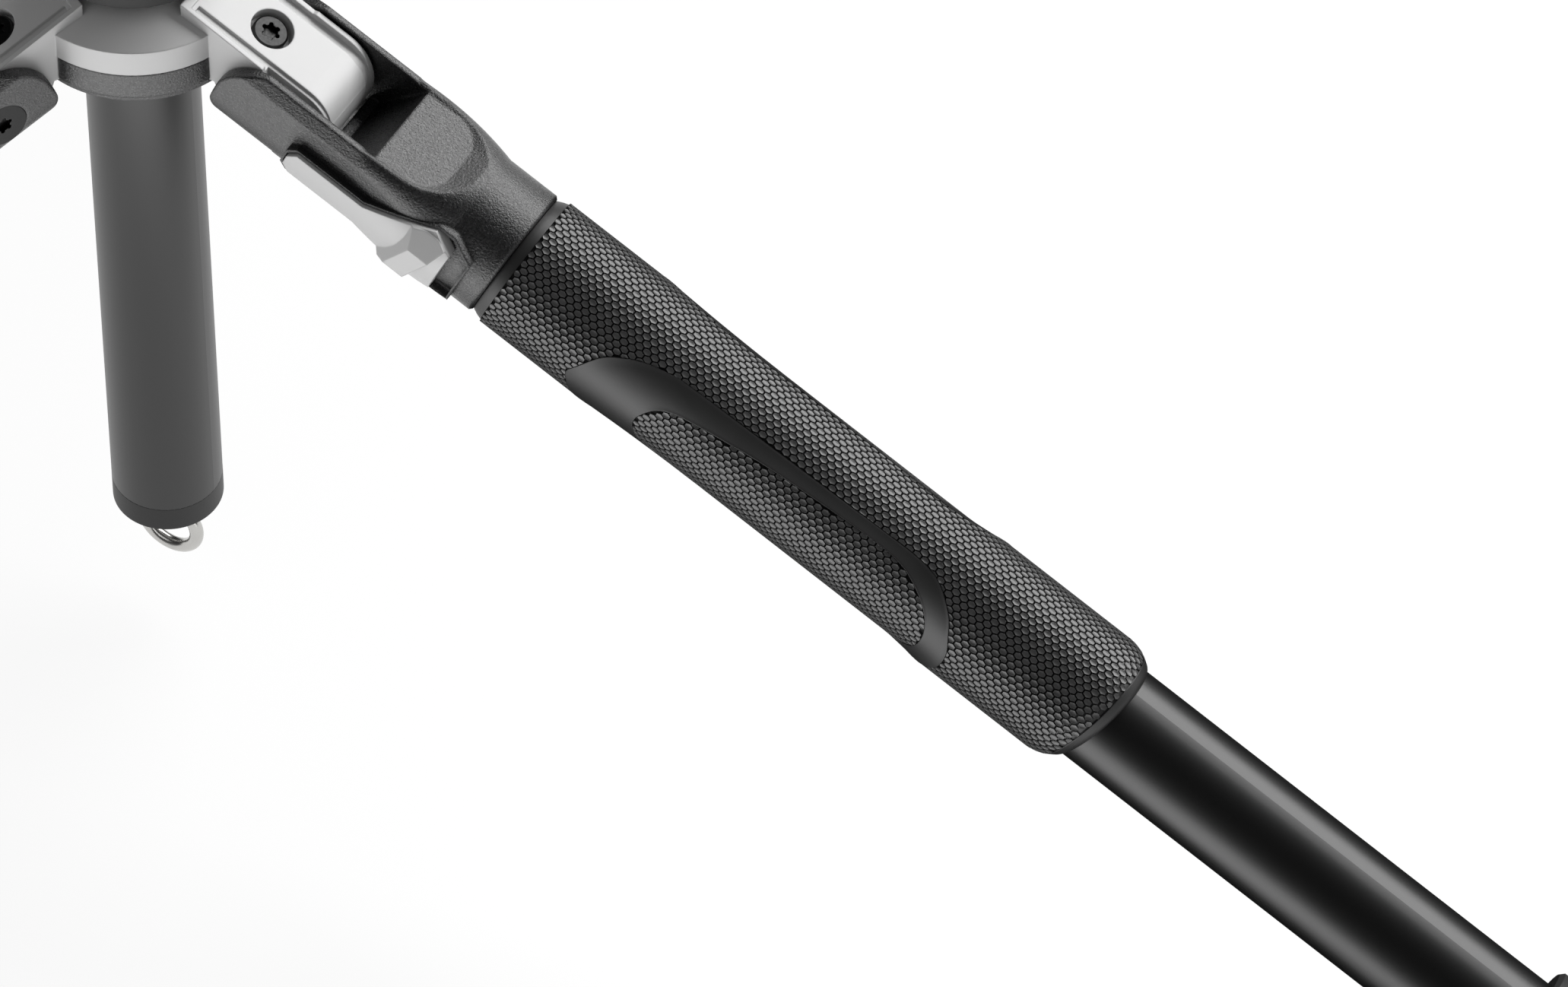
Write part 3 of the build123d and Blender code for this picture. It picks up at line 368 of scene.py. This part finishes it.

# %% [markdown]
# ## Rubbers
# The grip is a firm moulded rubber, dark grey and dry. The tops of its honeycomb get a paler copy of it,
# which is painted light, and its grooves a black copy, which is painted shade. The nuts have a slightly
# softer black skin. The feet are plain black rubber that has been on pavements. What tells them apart
# is their grey, their gloss and the size of their grain, so one function makes them all.

# %% Rubber skins


def rubber(name, colour, roughness, grain_size, depth, edge=0.0003, **sockets):
    """Moulded rubber with a fine grain and slow, faint changes of grey, 9 mm across."""
    material, tree, shader = surface(name, colour, roughness, **sockets)
    slow = stretched(tree, grain(tree, 9.0, 3.0), 0.86, 1.14)
    tint = put(tree, "ShaderNodeVectorMath", {0: ink(colour)[:3], "Scale": slow}, operation="SCALE")
    tree.links.new(tint.outputs["Vector"], shader.inputs["Base Color"])
    rounded_relief(tree, shader, edge, [(grain(tree, grain_size), depth, 0.5)])
    return material


# Firm moulded grip rubber: dry dark grey, a bloom of pale grey where it faces the light.
grip_rubber = rubber("moulded_grip_rubber", "1B1B1B", 0.46, 0.25, 0.00001, Specular_IOR_Level=0.7)
# The same rubber on the tops of the honeycomb, made paler as painted light. Its edges stay crisp.
painted_light_pads = rubber("pad_painted_light_rubber", "363636", 0.4, 0.25, 0.00001, 0.00006, Specular_IOR_Level=1.0)
# Floor of the narrow grooves between: dull, with the shade of the pads painted in as near-black.
painted_shade_grooves = rubber("groove_painted_shade_rubber", "0B0B0B", 0.75, 0.25, 0.00001, Specular_IOR_Level=0.2)
# Thermoplastic rubber over the twist nuts: black, silky.
nut_rubber = rubber("soft_touch_rubber", "1D1D1D", 0.6, 0.3, 0.00002)
# Foot rubber: black and scuffed dull. Scuffs 0.8 mm.
foot_rubber = rubber("scuffed_foot_rubber", "202020", 0.8, 0.8, 0.00005)
print("rubbers:", grip_rubber.name, painted_light_pads.name, painted_shade_grooves.name, nut_rubber.name, foot_rubber.name)

# %% [markdown]
# ## Plastics and small metal
# What is left is small: plain bearing plastic inside the locks, glass-filled nylon at the column's
# end, blackened steel screws, the machined black plate on top and the bright steel of its stud and the
# hook. The plate is turned on a lathe, and its fine rings are a Wave texture about the column's axis.

# %% Plastics, steels and the turned plate
# Acetal bearing plastic: dark grey, waxy. Mould grain 0.4 mm.
bearing_plastic, tree, shader = surface("acetal_bearing_plastic", "3A3A3B", 0.4)
rounded_relief(tree, shader, 0.0002, [(grain(tree, 0.4), 0.00001, 0.3)])
# Glass-filled nylon: black with a sandy mould texture of 0.5 mm.
black_plastic, tree, shader = surface("glass_filled_nylon", "1A1A1A", 0.5)
rounded_relief(tree, shader, 0.0004, [(grain(tree, 0.5, 3.0), 0.00004, 0.5)])
# Blackened steel screws: a thin oxide over bright metal, so dark but clearly metal. Cloud 0.5 mm.
dark_steel, tree, shader = surface("black_oxide_steel", "3A3A3A", 0.36, Metallic=1.0)
tree.links.new(stretched(tree, grain(tree, 0.5, 3.0), 0.3, 0.46), shader.inputs["Roughness"])
rounded_relief(tree, shader, 0.00025, [(grain(tree, 0.3), 0.000008, 0.4)])
# Nickel-plated steel: bright, slightly clouded by handling. Clouds 4 mm.
bright_steel, tree, shader = surface("nickel_plated_steel", "C4C3C0", 0.24, Metallic=1.0)
tree.links.new(stretched(tree, grain(tree, 4.0, 3.0), 0.18, 0.34), shader.inputs["Roughness"])
rounded_relief(tree, shader, 0.0002, [(grain(tree, 0.3), 0.000003, 0.3)])
# Turned and black-anodised plate: fine rings of the lathe tool about the column. They are really 0.2 mm
# apart. A Wave texture repeats every pi / 10 of its unit, so 450 to the metre draws them 0.7 mm apart.
plate_black, tree, shader = surface("turned_black_plate", "161616", 0.38)
place = put(tree, "ShaderNodeTexCoord").outputs["Object"]
rings = put(tree, "ShaderNodeTexWave", {"Vector": place, "Scale": 450.0}, wave_type="RINGS",
            rings_direction="Z")
rounded_relief(tree, shader, 0.0004, [(rings.outputs["Fac"], 0.00001, 0.4)])
print("finishes for metal and plastic:", bearing_plastic.name, black_plastic.name, dark_steel.name,
      bright_steel.name, plate_black.name)

# %% [markdown]
# ## Dressing the solid parts
# Each solid part is called after what it is, with the number of its leg at the end. So a finish is
# looked up by the start of the name, and where two entries fit, the longer one counts: column_lock is
# rubber, though column is anodised.

# %% Give every solid part its surface
FINISH = {
    "crown": silver_paint, "angle_selector": silver_paint, "leg_bracket": cast_black, "hub": cast_black,
    "leg_tube": black_anodised, "column": black_anodised, "twist_nut": nut_rubber,
    "column_lock": nut_rubber, "leg_grip": grip_rubber, "foot": foot_rubber, "collet": bearing_plastic,
    "column_bush": bearing_plastic, "pivot_bushes": bearing_plastic, "column_cap": black_plastic,
    "pivot_bolt": dark_steel, "arm_screws": dark_steel, "plate_set_screws": dark_steel,
    "head_plate": plate_black, "head_stud": bright_steel, "hook": bright_steel,
    "selector_spring": bright_steel,
}
for name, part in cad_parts.items():
    kind = max((key for key in FINISH if name.startswith(key)), key=len)
    part.data.materials.clear()
    part.data.materials.append(FINISH[kind])
print("parts dressed:", len(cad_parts))

# %% [markdown]
# ## The grip: a sleeve with a smooth loop on each side
# The grip is one rubber moulding round the tube. Two smooth bands run as closed loops, one on each
# side of the leg, and slope down from the full radius to a slightly sunken island. All the rest is
# honeycomb. A flat grid with a formula for the radius would leave the edges of the loops ragged, so
# the mesh is drawn the other way round: its rings follow the loops themselves.

# %% The loop's two edges
# Distances down the leg and radii, all in mm: where the grip starts, where its cone reaches the
# honeycomb, the tube it sits on, its own full radius, the sunken island and the depth of the grooves.
GRIP_TOP, RING_END = 59.1, 61.7
TUBE, FULL, ISLAND = 12.55, 15.9, 15.05
GROOVE = 0.4
# Half of each edge as measured: distance down the leg and angle from its front.
OUTER_EDGE = ((83.2, 90), (84.2, 80), (87.4, 58), (91.8, 46), (96.1, 39), (100.9, 35), (105.5, 32.8),
              (123.7, 31.3), (142.8, 30), (160.0, 28.8), (167.0, 29), (171.4, 31.6), (174.4, 36),
              (177.6, 44), (180.2, 53), (182.3, 65), (184.0, 77), (184.5, 90))
INNER_EDGE = ((101.0, 90), (101.4, 81), (103.2, 68), (106.5, 60), (111.8, 55.4), (120, 50.6),
              (130, 45.9), (142.8, 42.6), (154, 40.3), (161.5, 40.3), (166, 43), (169.6, 48.5),
              (172.8, 55.5), (175.4, 64), (177.4, 76), (178.0, 90))
# Points on a quarter turn of the sleeve, on its length, and on half a loop.
QUARTER, SIDE = 34, 92
HALF = QUARTER + SIDE + QUARTER
# Points on the curve between two measured ones, before it is divided evenly.
FINE_STEPS = 24
# Where the grip ends at its sides, and how much farther down it goes at the front.
SIDE_END, END_SLANT = 218.1, 3.3


def grip_end(angle):
    """Where the grip ends: cut a little aslant, longest at the front of the leg."""
    return SIDE_END + END_SLANT * np.cos(np.radians(angle))


def smooth_track(points, count):
    """Evenly spaced points on a smooth curve through a track, in mm and degrees, both ends included."""
    knots = np.array(points, float)
    first = knots[1] * (1, -1) + (0, 180)
    last = knots[-2] * (1, -1) + (0, 180)
    knots = np.vstack([first, knots, last])
    pieces = []
    for a, b, c, d in zip(knots[:-3], knots[1:-2], knots[2:-1], knots[3:]):
        t = np.linspace(0, 1, FINE_STEPS, endpoint=False)[:, None]
        pieces.append(b + 0.5 * t * (c - a + t * (2 * a - 5 * b + 4 * c - d + t * (3 * (b - c) + d - a))))
    curve = np.vstack(pieces + [knots[-2:-1]])
    step = np.hypot(*((curve[1:] - curve[:-1]) * (1, math.radians(FULL))).T)
    way = np.concatenate([[0], np.cumsum(step)])
    even = np.linspace(0, way[-1], count)
    return np.stack([np.interp(even, way, curve[:, k]) for k in (0, 1)], 1)


def closed_loop(points):
    """Both halves of a loop about 90 degrees, HALF steps each, as one closed ring."""
    half = smooth_track(points, HALF + 1)
    return np.vstack([half, (half * (1, -1) + (0, 180))[-2:0:-1]])


outer_loop, inner_loop = closed_loop(OUTER_EDGE), closed_loop(INNER_EDGE)
print("loop points:", len(outer_loop))

# %% [markdown]
# ### Radius of the sleeve
# At the top a smooth cone leads from the bracket's collar to the full radius. At the bottom a rounded
# shoulder runs in to the tube. The same formula serves the sleeve and the honeycomb on it, so the two
# can't drift apart.

# %% Envelope of the grip
# Top cone: its small radius and its length. Bottom shoulder: its small radius, its length and how
# square its round is. The full radius stands a hair proud on the cone, and the shoulder then limits it.
CONE_RADIUS, CONE_LENGTH, CONE_PROUD = 14.4, 3.2, 0.05
LIP_RADIUS, SHOULDER_LENGTH, SHOULDER_POWER = 12.75, 6.6, 1.6


def envelope(along, angle):
    """Outer radius of the grip without its loops, in mm."""
    cone = np.clip((along - GRIP_TOP) / CONE_LENGTH, 0, 1)
    radius = CONE_RADIUS + (FULL + CONE_PROUD - CONE_RADIUS) * cone
    left = np.clip((grip_end(angle) - along) / SHOULDER_LENGTH, 0, 1)
    rounding = (1 - (1 - left) ** SHOULDER_POWER) ** (1 / SHOULDER_POWER)
    return np.minimum(radius, LIP_RADIUS + (FULL - LIP_RADIUS) * rounding)


print("radius in the middle:", round(float(envelope(140, 0)), 2))

# %% [markdown]
# ### Rings of the sleeve
# The rings of half the sleeve start as a line in the middle of its island and grow into the inner
# edge, over the band, into the outer edge and on to the border of the half. Further rings go round
# the whole grip, over the cone at its top and over the shoulder at its bottom.

# %% Rings from the island to both ends
# The middle line of the island, in mm down the leg, and how far before the grip's end the honeycomb's
# rings stop and its pads stop. The narrow rims of the band stand a hair above what is beside them, and
# the rubber is nowhere thinner over the tube than THINNEST.
SPINE_FROM, SPINE_TO = 118, 160
RINGS_STOP, BARE_END = 7, 2.3
INNER_RIM, OUTER_RIM = 0.05, 0.06
THINNEST = 0.05
# How many rings the island and the field outside the band have, where the rings of the band lie
# between its edges, and how its slope bends.
ISLAND_RINGS, FIELD_RINGS = 9, 17
BAND_SHARES = (0.035, 0.12, 0.25, 0.4, 0.55, 0.7, 0.85, 0.965)
BAND_BEND = 1.15
# Rings on the cone as (down the leg, radius), and on the shoulder as (left to the end, below the skin).
CONE_RINGS = ((RING_END, 15.5), (60.5, 15.12), (GRIP_TOP + 0.25, 14.6), (GRIP_TOP, CONE_RADIUS),
              (GRIP_TOP, TUBE))
SHOULDER_RINGS = ((RINGS_STOP, GROOVE), (6, GROOVE), (5, GROOVE), (4, GROOVE), (3.1, GROOVE),
                  (BARE_END, GROOVE), (BARE_END, 0.0), (1.7, 0.05), (1.1, 0.05), (0.6, 0.0),
                  (0.25, 0.0), (0.0, 0.0))


def between(a, b, share):
    """The point that lies a share of the way from a to b."""
    return a + (b - a) * share


def half_border():
    """Border of one half of the sleeve: its two ends and the middle of the front and the back."""
    top = np.stack([np.full(QUARTER, RING_END), np.linspace(90, 0, QUARTER, endpoint=False)], 1)
    end_at_front = grip_end(0) - RINGS_STOP
    side = np.stack([np.linspace(RING_END, end_at_front, SIDE, endpoint=False), np.zeros(SIDE)], 1)
    angles = np.linspace(0, 90, QUARTER + 1)
    front = np.vstack([top, side, np.stack([grip_end(angles) - RINGS_STOP, angles], 1)])
    back = front * (1, -1) + (0, 180)
    back[-QUARTER - 1:, 0] = (grip_end(np.linspace(90, 180, QUARTER + 1)) - RINGS_STOP)[::-1]
    end_at_back = grip_end(180) - RINGS_STOP
    back[QUARTER:QUARTER + SIDE, 0] = np.linspace(RING_END, end_at_back, SIDE, endpoint=False)
    return np.vstack([front, back[-2:0:-1]])


def sleeve_rings():
    """Rings of (along, angle, radius) from the middle of one side out to the edge of its half."""
    spine = np.stack([np.clip(inner_loop[:, 0], SPINE_FROM, SPINE_TO), np.full(len(inner_loop), 90.0)], 1)
    border = half_border()
    rings = []

    def ring(places, radius):
        rings.append(np.column_stack([places, np.broadcast_to(radius, len(places))]))

    for share in np.linspace(0, 1, ISLAND_RINGS):
        ring(between(spine, inner_loop, share), ISLAND - GROOVE)
    ring(inner_loop, ISLAND + INNER_RIM)
    for share in BAND_SHARES:
        ring(between(inner_loop, outer_loop, share), ISLAND + (FULL - ISLAND) * share ** BAND_BEND)
    ring(outer_loop, FULL + OUTER_RIM)
    for share in np.linspace(0, 1, FIELD_RINGS):
        places = between(outer_loop, border, share)
        ring(places, np.maximum(envelope(places[:, 0], places[:, 1]) - GROOVE, TUBE + THINNEST))
    return rings


def end_rings(angles):
    """Rings from the honeycomb to the tube, over the top cone and over the bottom shoulder."""
    top = [np.column_stack([np.full(len(angles), along), angles, np.full(len(angles), radius)])
           for along, radius in CONE_RINGS]
    bottom = []
    for left, below in SHOULDER_RINGS:
        along = grip_end(angles) - left
        bottom.append(np.column_stack([along, angles, envelope(along, angles) - below]))
    last = bottom[-1].copy()
    last[:, 2] = TUBE
    return top, bottom + [last]


half_rings = sleeve_rings()
print("rings in one half:", len(half_rings))

# %% [markdown]
# ### From rings to a mesh
# Two neighbouring rings of equal length make a row of four-sided faces. The rows of both halves and
# both ends go into one mesh. Points that fall together are merged, and edges where the skin turns
# sharply are kept crisp. The rows of the band and of both ends are smooth rubber. The others are the
# floor of the grooves, in a near-black copy of the rubber that is painted shade.

# %% Build the sleeve
# Rows of faces from the first to the last of the smooth band. All other rows of a half are groove floor,
# in the rubber darkened as painted shade.
BAND_FIRST = ISLAND_RINGS - 1
BAND_LAST = BAND_FIRST + len(BAND_SHARES) + 2
SAME_POINT, NO_LENGTH = 0.000004, 0.000002
SLEEVE_CREASE = math.radians(35)


def plain_mesh(name, points, faces, materials, kinds):
    """Mesh object at the origin from points in metres, with close points merged and faces outwards."""
    mesh = bpy.data.meshes.new(name)
    mesh.from_pydata([tuple(p) for p in points], [], faces)
    mesh.polygons.foreach_set("material_index", kinds)
    work = bmesh.new()
    work.from_mesh(mesh)
    bmesh.ops.remove_doubles(work, verts=work.verts, dist=SAME_POINT)
    bmesh.ops.dissolve_degenerate(work, edges=work.edges, dist=NO_LENGTH)
    bmesh.ops.recalc_face_normals(work, faces=work.faces)
    work.to_mesh(mesh)
    work.free()
    mesh.shade_smooth()
    mesh.set_sharp_from_angle(angle=SLEEVE_CREASE)
    for material in materials:
        mesh.materials.append(material)
    piece = bpy.data.objects.new(name, mesh)
    scene.collection.objects.link(piece)
    return piece


def skin(rings, start):
    """Quads between successive closed rings of equal length, as indices counted from start."""
    count = len(rings[0])
    quads = []
    for row in range(len(rings) - 1):
        for k in range(count):
            a, b = row * count + k, row * count + (k + 1) % count
            quads.append((start + a, start + b, start + b + count, start + a + count))
    return quads


sleeve_points, sleeve_faces, sleeve_kinds = [], [], []
for mirror in (1, -1):
    sleeve_faces += skin(half_rings, len(sleeve_points))
    for row in range(len(half_rings) - 1):
        sleeve_kinds += [0 if BAND_FIRST <= row <= BAND_LAST else 1] * len(half_rings[0])
    for ring in half_rings:
        sleeve_points += list(round_leg(ring[:, 0], mirror * ring[:, 1], ring[:, 2]))
for rings in end_rings(np.linspace(0, 360, 4 * QUARTER, endpoint=False)):
    sleeve_faces += skin(rings, len(sleeve_points))
    for ring in rings:
        sleeve_points += list(round_leg(ring[:, 0], ring[:, 1], ring[:, 2]))
sleeve_kinds += [0] * (len(sleeve_faces) - len(sleeve_kinds))
# The groove floor takes the second material, whose near-black is painted shade.
grip_sleeve = plain_mesh("grip_sleeve", sleeve_points, sleeve_faces, (grip_rubber, painted_shade_grooves),
                         sleeve_kinds)
print("sleeve faces:", len(grip_sleeve.data.polygons))

# %% [markdown]
# ## The honeycomb
# Close up, the pattern is some thousands of small six-sided pads in staggered rows along the leg, each
# with a raised rim and a dished middle, which look like the scales of a fish where they turn away. A
# Geometry Nodes tree makes one pad from a six-cornered circle and sets it on every seed point. The
# seeds carry the two directions that a pad needs: straight out of the rubber and down the leg.

# %% One pad on every seed


def pad_tree():
    """Tree that sets a dished six-sided pad on each point, turned by its outward and along attributes."""
    tree = bpy.data.node_groups.new("honeycomb_pads", "GeometryNodeTree")
    for name, kind, value in (("Seeds", "NodeSocketGeometry", None), ("Length", "NodeSocketFloat", 0.00184),
                              ("Width", "NodeSocketFloat", 0.00146), ("Height", "NodeSocketFloat", 0.0004),
                              ("Dish", "NodeSocketFloat", 0.00009), ("Corners", "NodeSocketInt", 6),
                              ("Crest", "NodeSocketFloat", 0.9), ("Bowl", "NodeSocketFloat", 0.6),
                              ("Rubber", "NodeSocketMaterial", None)):
        socket = tree.interface.new_socket(name, in_out="INPUT", socket_type=kind)
        if value is not None:
            socket.default_value = value
    tree.interface.new_socket("Pads", in_out="OUTPUT", socket_type="NodeSocketGeometry")
    given = put(tree, "NodeGroupInput").outputs
    disc = put(tree, "GeometryNodeMeshCircle", {"Vertices": given["Corners"], "Radius": 0.5},
               fill_type="NGON")
    across_corners = put(tree, "ShaderNodeMath", {0: given["Length"], 1: 2 / math.sqrt(3)},
                         operation="MULTIPLY")
    size = put(tree, "ShaderNodeCombineXYZ", {"X": given["Width"], "Y": across_corners.outputs[0],
                                              "Z": 1.0})
    outline = put(tree, "GeometryNodeTransform", {"Geometry": disc.outputs["Mesh"],
                                                  "Scale": size.outputs[0],
                                                  "Rotation": (0, 0, math.pi / 2)})
    wall = put(tree, "GeometryNodeExtrudeMesh", {"Mesh": outline.outputs["Geometry"],
                                                 "Offset Scale": given["Height"], "Individual": False})
    crest = put(tree, "GeometryNodeScaleElements", {"Geometry": wall.outputs["Mesh"],
                                                    "Selection": wall.outputs["Top"],
                                                    "Scale": given["Crest"]})
    bowl = put(tree, "GeometryNodeExtrudeMesh", {"Mesh": crest.outputs["Geometry"],
                                                 "Selection": wall.outputs["Top"], "Offset Scale": 0.0,
                                                 "Individual": False})
    bowl_in = put(tree, "GeometryNodeScaleElements", {"Geometry": bowl.outputs["Mesh"],
                                                      "Selection": bowl.outputs["Top"],
                                                      "Scale": given["Bowl"]})
    down = put(tree, "ShaderNodeMath", {0: given["Dish"], 1: -1.0}, operation="MULTIPLY")
    sink = put(tree, "ShaderNodeCombineXYZ", {"Z": down.outputs[0]})
    pad = put(tree, "GeometryNodeSetPosition", {"Geometry": bowl_in.outputs["Geometry"],
                                                "Selection": bowl.outputs["Top"],
                                                "Offset": sink.outputs[0]})
    outward = put(tree, "GeometryNodeInputNamedAttribute", {"Name": "outward"}, data_type="FLOAT_VECTOR")
    along = put(tree, "GeometryNodeInputNamedAttribute", {"Name": "along"}, data_type="FLOAT_VECTOR")
    turn = put(tree, "FunctionNodeAxesToRotation", {"Primary Axis": outward.outputs["Attribute"],
                                                    "Secondary Axis": along.outputs["Attribute"]},
               primary_axis="Z", secondary_axis="X")
    placed = put(tree, "GeometryNodeInstanceOnPoints", {"Points": given["Seeds"],
                                                        "Instance": pad.outputs["Geometry"],
                                                        "Rotation": turn.outputs[0]})
    real = put(tree, "GeometryNodeRealizeInstances", {"Geometry": placed.outputs["Instances"]})
    dressed = put(tree, "GeometryNodeSetMaterial", {"Geometry": real.outputs["Geometry"],
                                                    "Material": given["Rubber"]})
    put(tree, "NodeGroupOutput", {"Pads": dressed.outputs["Geometry"]})
    return tree


honeycomb_tree = pad_tree()
print("tree nodes:", len(honeycomb_tree.nodes))

# %% [markdown]
# ### How far from the band
# Whether a pad belongs on the grip, and how much of it, hangs on its distance from the two edges of the
# smooth band. The sleeve is treated as unrolled for this, so that a plain distance to a closed outline
# will do. Both sides of the leg are alike, so places are folded onto one side first.

# %% Distance from the edges of the pattern


def to_loop(places, loop):
    """Distance in mm to a loop, positive outside it, and the step in (along, angle) away from it."""
    scale = np.array((1, math.radians(FULL)))
    a = loop * scale
    b = np.roll(a, -1, 0)
    p = places * scale
    best = np.full(len(p), 1e9)
    away = np.zeros((len(p), 2))
    inside = np.zeros(len(p), bool)
    for start, end in zip(a, b):
        edge = end - start
        share = np.clip(((p - start) @ edge) / (edge @ edge), 0, 1)
        gap = p - (start + share[:, None] * edge)
        far = np.hypot(gap[:, 0], gap[:, 1])
        near = far < best
        best[near], away[near] = far[near], gap[near]
        crosses = (start[1] > p[:, 1]) != (end[1] > p[:, 1])
        if crosses.any() and edge[1]:
            at = start[0] + (p[:, 1] - start[1]) / edge[1] * edge[0]
            inside ^= crosses & (p[:, 0] < at)
    unit = away / np.maximum(best, 1e-6)[:, None] * np.where(inside, -1, 1)[:, None]
    return np.where(inside, -best, best), unit / scale


def folded(places):
    """Places moved to the side at 90 degrees, where the loops are, and the sign that moved them."""
    angle = (places[:, 1] + 180) % 360 - 180
    sign = np.where(angle < 0, -1.0, 1.0)
    return np.column_stack([places[:, 0], np.abs(angle)]), sign


def surface_radius(places):
    """Groove-level radius of the sleeve at seeds, sunken on the islands, and which seeds are on one."""
    flat, _ = folded(places)
    island = to_loop(flat, inner_loop)[0] < 0
    radius = envelope(places[:, 0], places[:, 1]) - GROOVE
    return np.where(island, ISLAND - GROOVE, radius), island


print("middle of the island to its edge:", to_loop(np.array([[140.0, 90.0]]), inner_loop)[0].round(2))

# %% [markdown]
# ### Seeds
# Rows of seeds go all the way round, every other row shifted by half a pitch. A seed that falls on a
# smooth band is left out, unless it lies so close to the outer edge that a part of its pad shows there.
# On the cone and the shoulder the outward direction leans with the slope of the rubber.

# %% Plant the seeds
PITCH, ROWS = 2.08, 78
# First seed after the cone, last one before the grip's end, and the seeds kept near the band's edges.
FIRST_SEED, LAST_SEED = 0.55, 2.75
KEPT_ON_BAND, KEPT_OFF_ISLAND_EDGE = 0.3, 0.02
# Step over which the slope is measured, and the steepest one that a pad follows.
PROBE, STEEPEST = 0.05, 1.5

seeds = []
for row in range(ROWS):
    shift = PITCH / 2 * (row % 2)
    along = np.arange(RING_END + FIRST_SEED + shift, grip_end(0), PITCH)
    seeds.append(np.column_stack([along, np.full(len(along), row * 360 / ROWS)]))
seeds = np.vstack(seeds)
seeds = seeds[seeds[:, 0] < grip_end(seeds[:, 1]) - LAST_SEED]
flat, _ = folded(seeds)
outside = to_loop(flat, outer_loop)[0]
within = to_loop(flat, inner_loop)[0]
seeds = seeds[(outside > -KEPT_ON_BAND) | (within < -KEPT_OFF_ISLAND_EDGE)]
radius, island = surface_radius(seeds)
ahead, behind = (surface_radius(seeds + (sign * PROBE, 0))[0] for sign in (1, -1))
slope = np.clip((ahead - behind) / (2 * PROBE), -STEEPEST, STEEPEST)
points = round_leg(seeds[:, 0], seeds[:, 1], radius)
out = round_leg(seeds[:, 0], seeds[:, 1], radius + 1) - points
out = out / np.linalg.norm(out, axis=1)[:, None] - slope[:, None] * down_1
out /= np.linalg.norm(out, axis=1)[:, None]
print("seeds:", len(seeds))

# %% [markdown]
# ### Pads cut at the edges
# The tree runs on the seeds of the front and of the back half. In both, a pad that hangs over an edge
# of the band, or over an end of the pattern, is pressed back behind it, which is how the real mould
# cuts them. All three pieces then ride on the first leg, and the sleeve takes the solid grip's place.

# %% Grow the pads in two pieces
# Gap from a cut pad to the edge of the band, and to the two ends of the pattern, in mm.
EDGE_GAP, END_GAP = 0.1, 0.08
PAD_CREASE = math.radians(50)


def press_back(mesh, at, on_island):
    """Move the corners of pads that cross an edge back to just behind it."""
    count = len(mesh.vertices)
    where = np.empty(count * 3, np.float32)
    mesh.vertices.foreach_get("co", where)
    local = (where.reshape(-1, 3).astype(float) - pivot_1) / MM
    owner = np.repeat(np.arange(len(at)), count // len(at))
    x, y = local @ front_1, local @ side_1
    places = np.column_stack([local @ down_1, np.degrees(np.arctan2(y, x))])
    flat, sign = folded(places)
    for loop, mine, direction in ((outer_loop, ~on_island[owner], 1), (inner_loop, on_island[owner], -1)):
        gap, away = to_loop(flat, loop)
        short = np.clip(EDGE_GAP - direction * gap, 0, None) * mine
        move = direction * short[:, None] * away
        places[:, 0] += move[:, 0]
        places[:, 1] += move[:, 1] * sign
    places[:, 0] = np.clip(places[:, 0], RING_END + END_GAP, grip_end(places[:, 1]) - BARE_END - END_GAP)
    moved = round_leg(places[:, 0], places[:, 1], np.hypot(x, y))
    mesh.vertices.foreach_set("co", moved.astype(np.float32).ravel())
    mesh.update()


def grow_pads(name, chosen):
    """Run the tree on some of the seeds and press every pad back behind the edges."""
    mesh = bpy.data.meshes.new(name)
    mesh.from_pydata([tuple(p) for p in points[chosen]], [], [])
    for key, values in (("outward", out[chosen]), ("along", np.tile(down_1, (chosen.sum(), 1)))):
        data = mesh.attributes.new(key, "FLOAT_VECTOR", "POINT")
        data.data.foreach_set("vector", np.ascontiguousarray(values, np.float32).ravel())
    piece = bpy.data.objects.new(name, mesh)
    scene.collection.objects.link(piece)
    growth = piece.modifiers.new("pads", "NODES")
    growth.node_group = honeycomb_tree
    # The pads get the paler copy of the rubber, whose extra lightness is painted light.
    for socket in honeycomb_tree.interface.items_tree:
        if socket.in_out == "INPUT" and socket.name == "Rubber":
            growth[socket.identifier] = painted_light_pads
    bpy.context.view_layer.update()
    grown = bpy.data.meshes.new_from_object(piece.evaluated_get(bpy.context.evaluated_depsgraph_get()))
    piece.modifiers.remove(growth)
    piece.data = grown
    # The circle brings a material slot of its own, which is empty and which no face uses.
    if grown.materials[0] is None:
        grown.materials.pop(index=0)
    press_back(grown, seeds[chosen], island[chosen])
    grown.shade_smooth()
    grown.set_sharp_from_angle(angle=PAD_CREASE)
    return piece


front_seeds = np.abs((seeds[:, 1] + 180) % 360 - 180) < 90
honeycomb_front = grow_pads("honeycomb_front", front_seeds)
honeycomb_back = grow_pads("honeycomb_back", ~front_seeds)
for piece in (grip_sleeve, honeycomb_front, honeycomb_back):
    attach(piece, "leg_1")
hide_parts("leg_grip")
print("pads in front:", front_seeds.sum(), "behind:", (~front_seeds).sum())
print("rubber of the pads:", honeycomb_front.data.materials[0].name, honeycomb_back.data.materials[0].name)
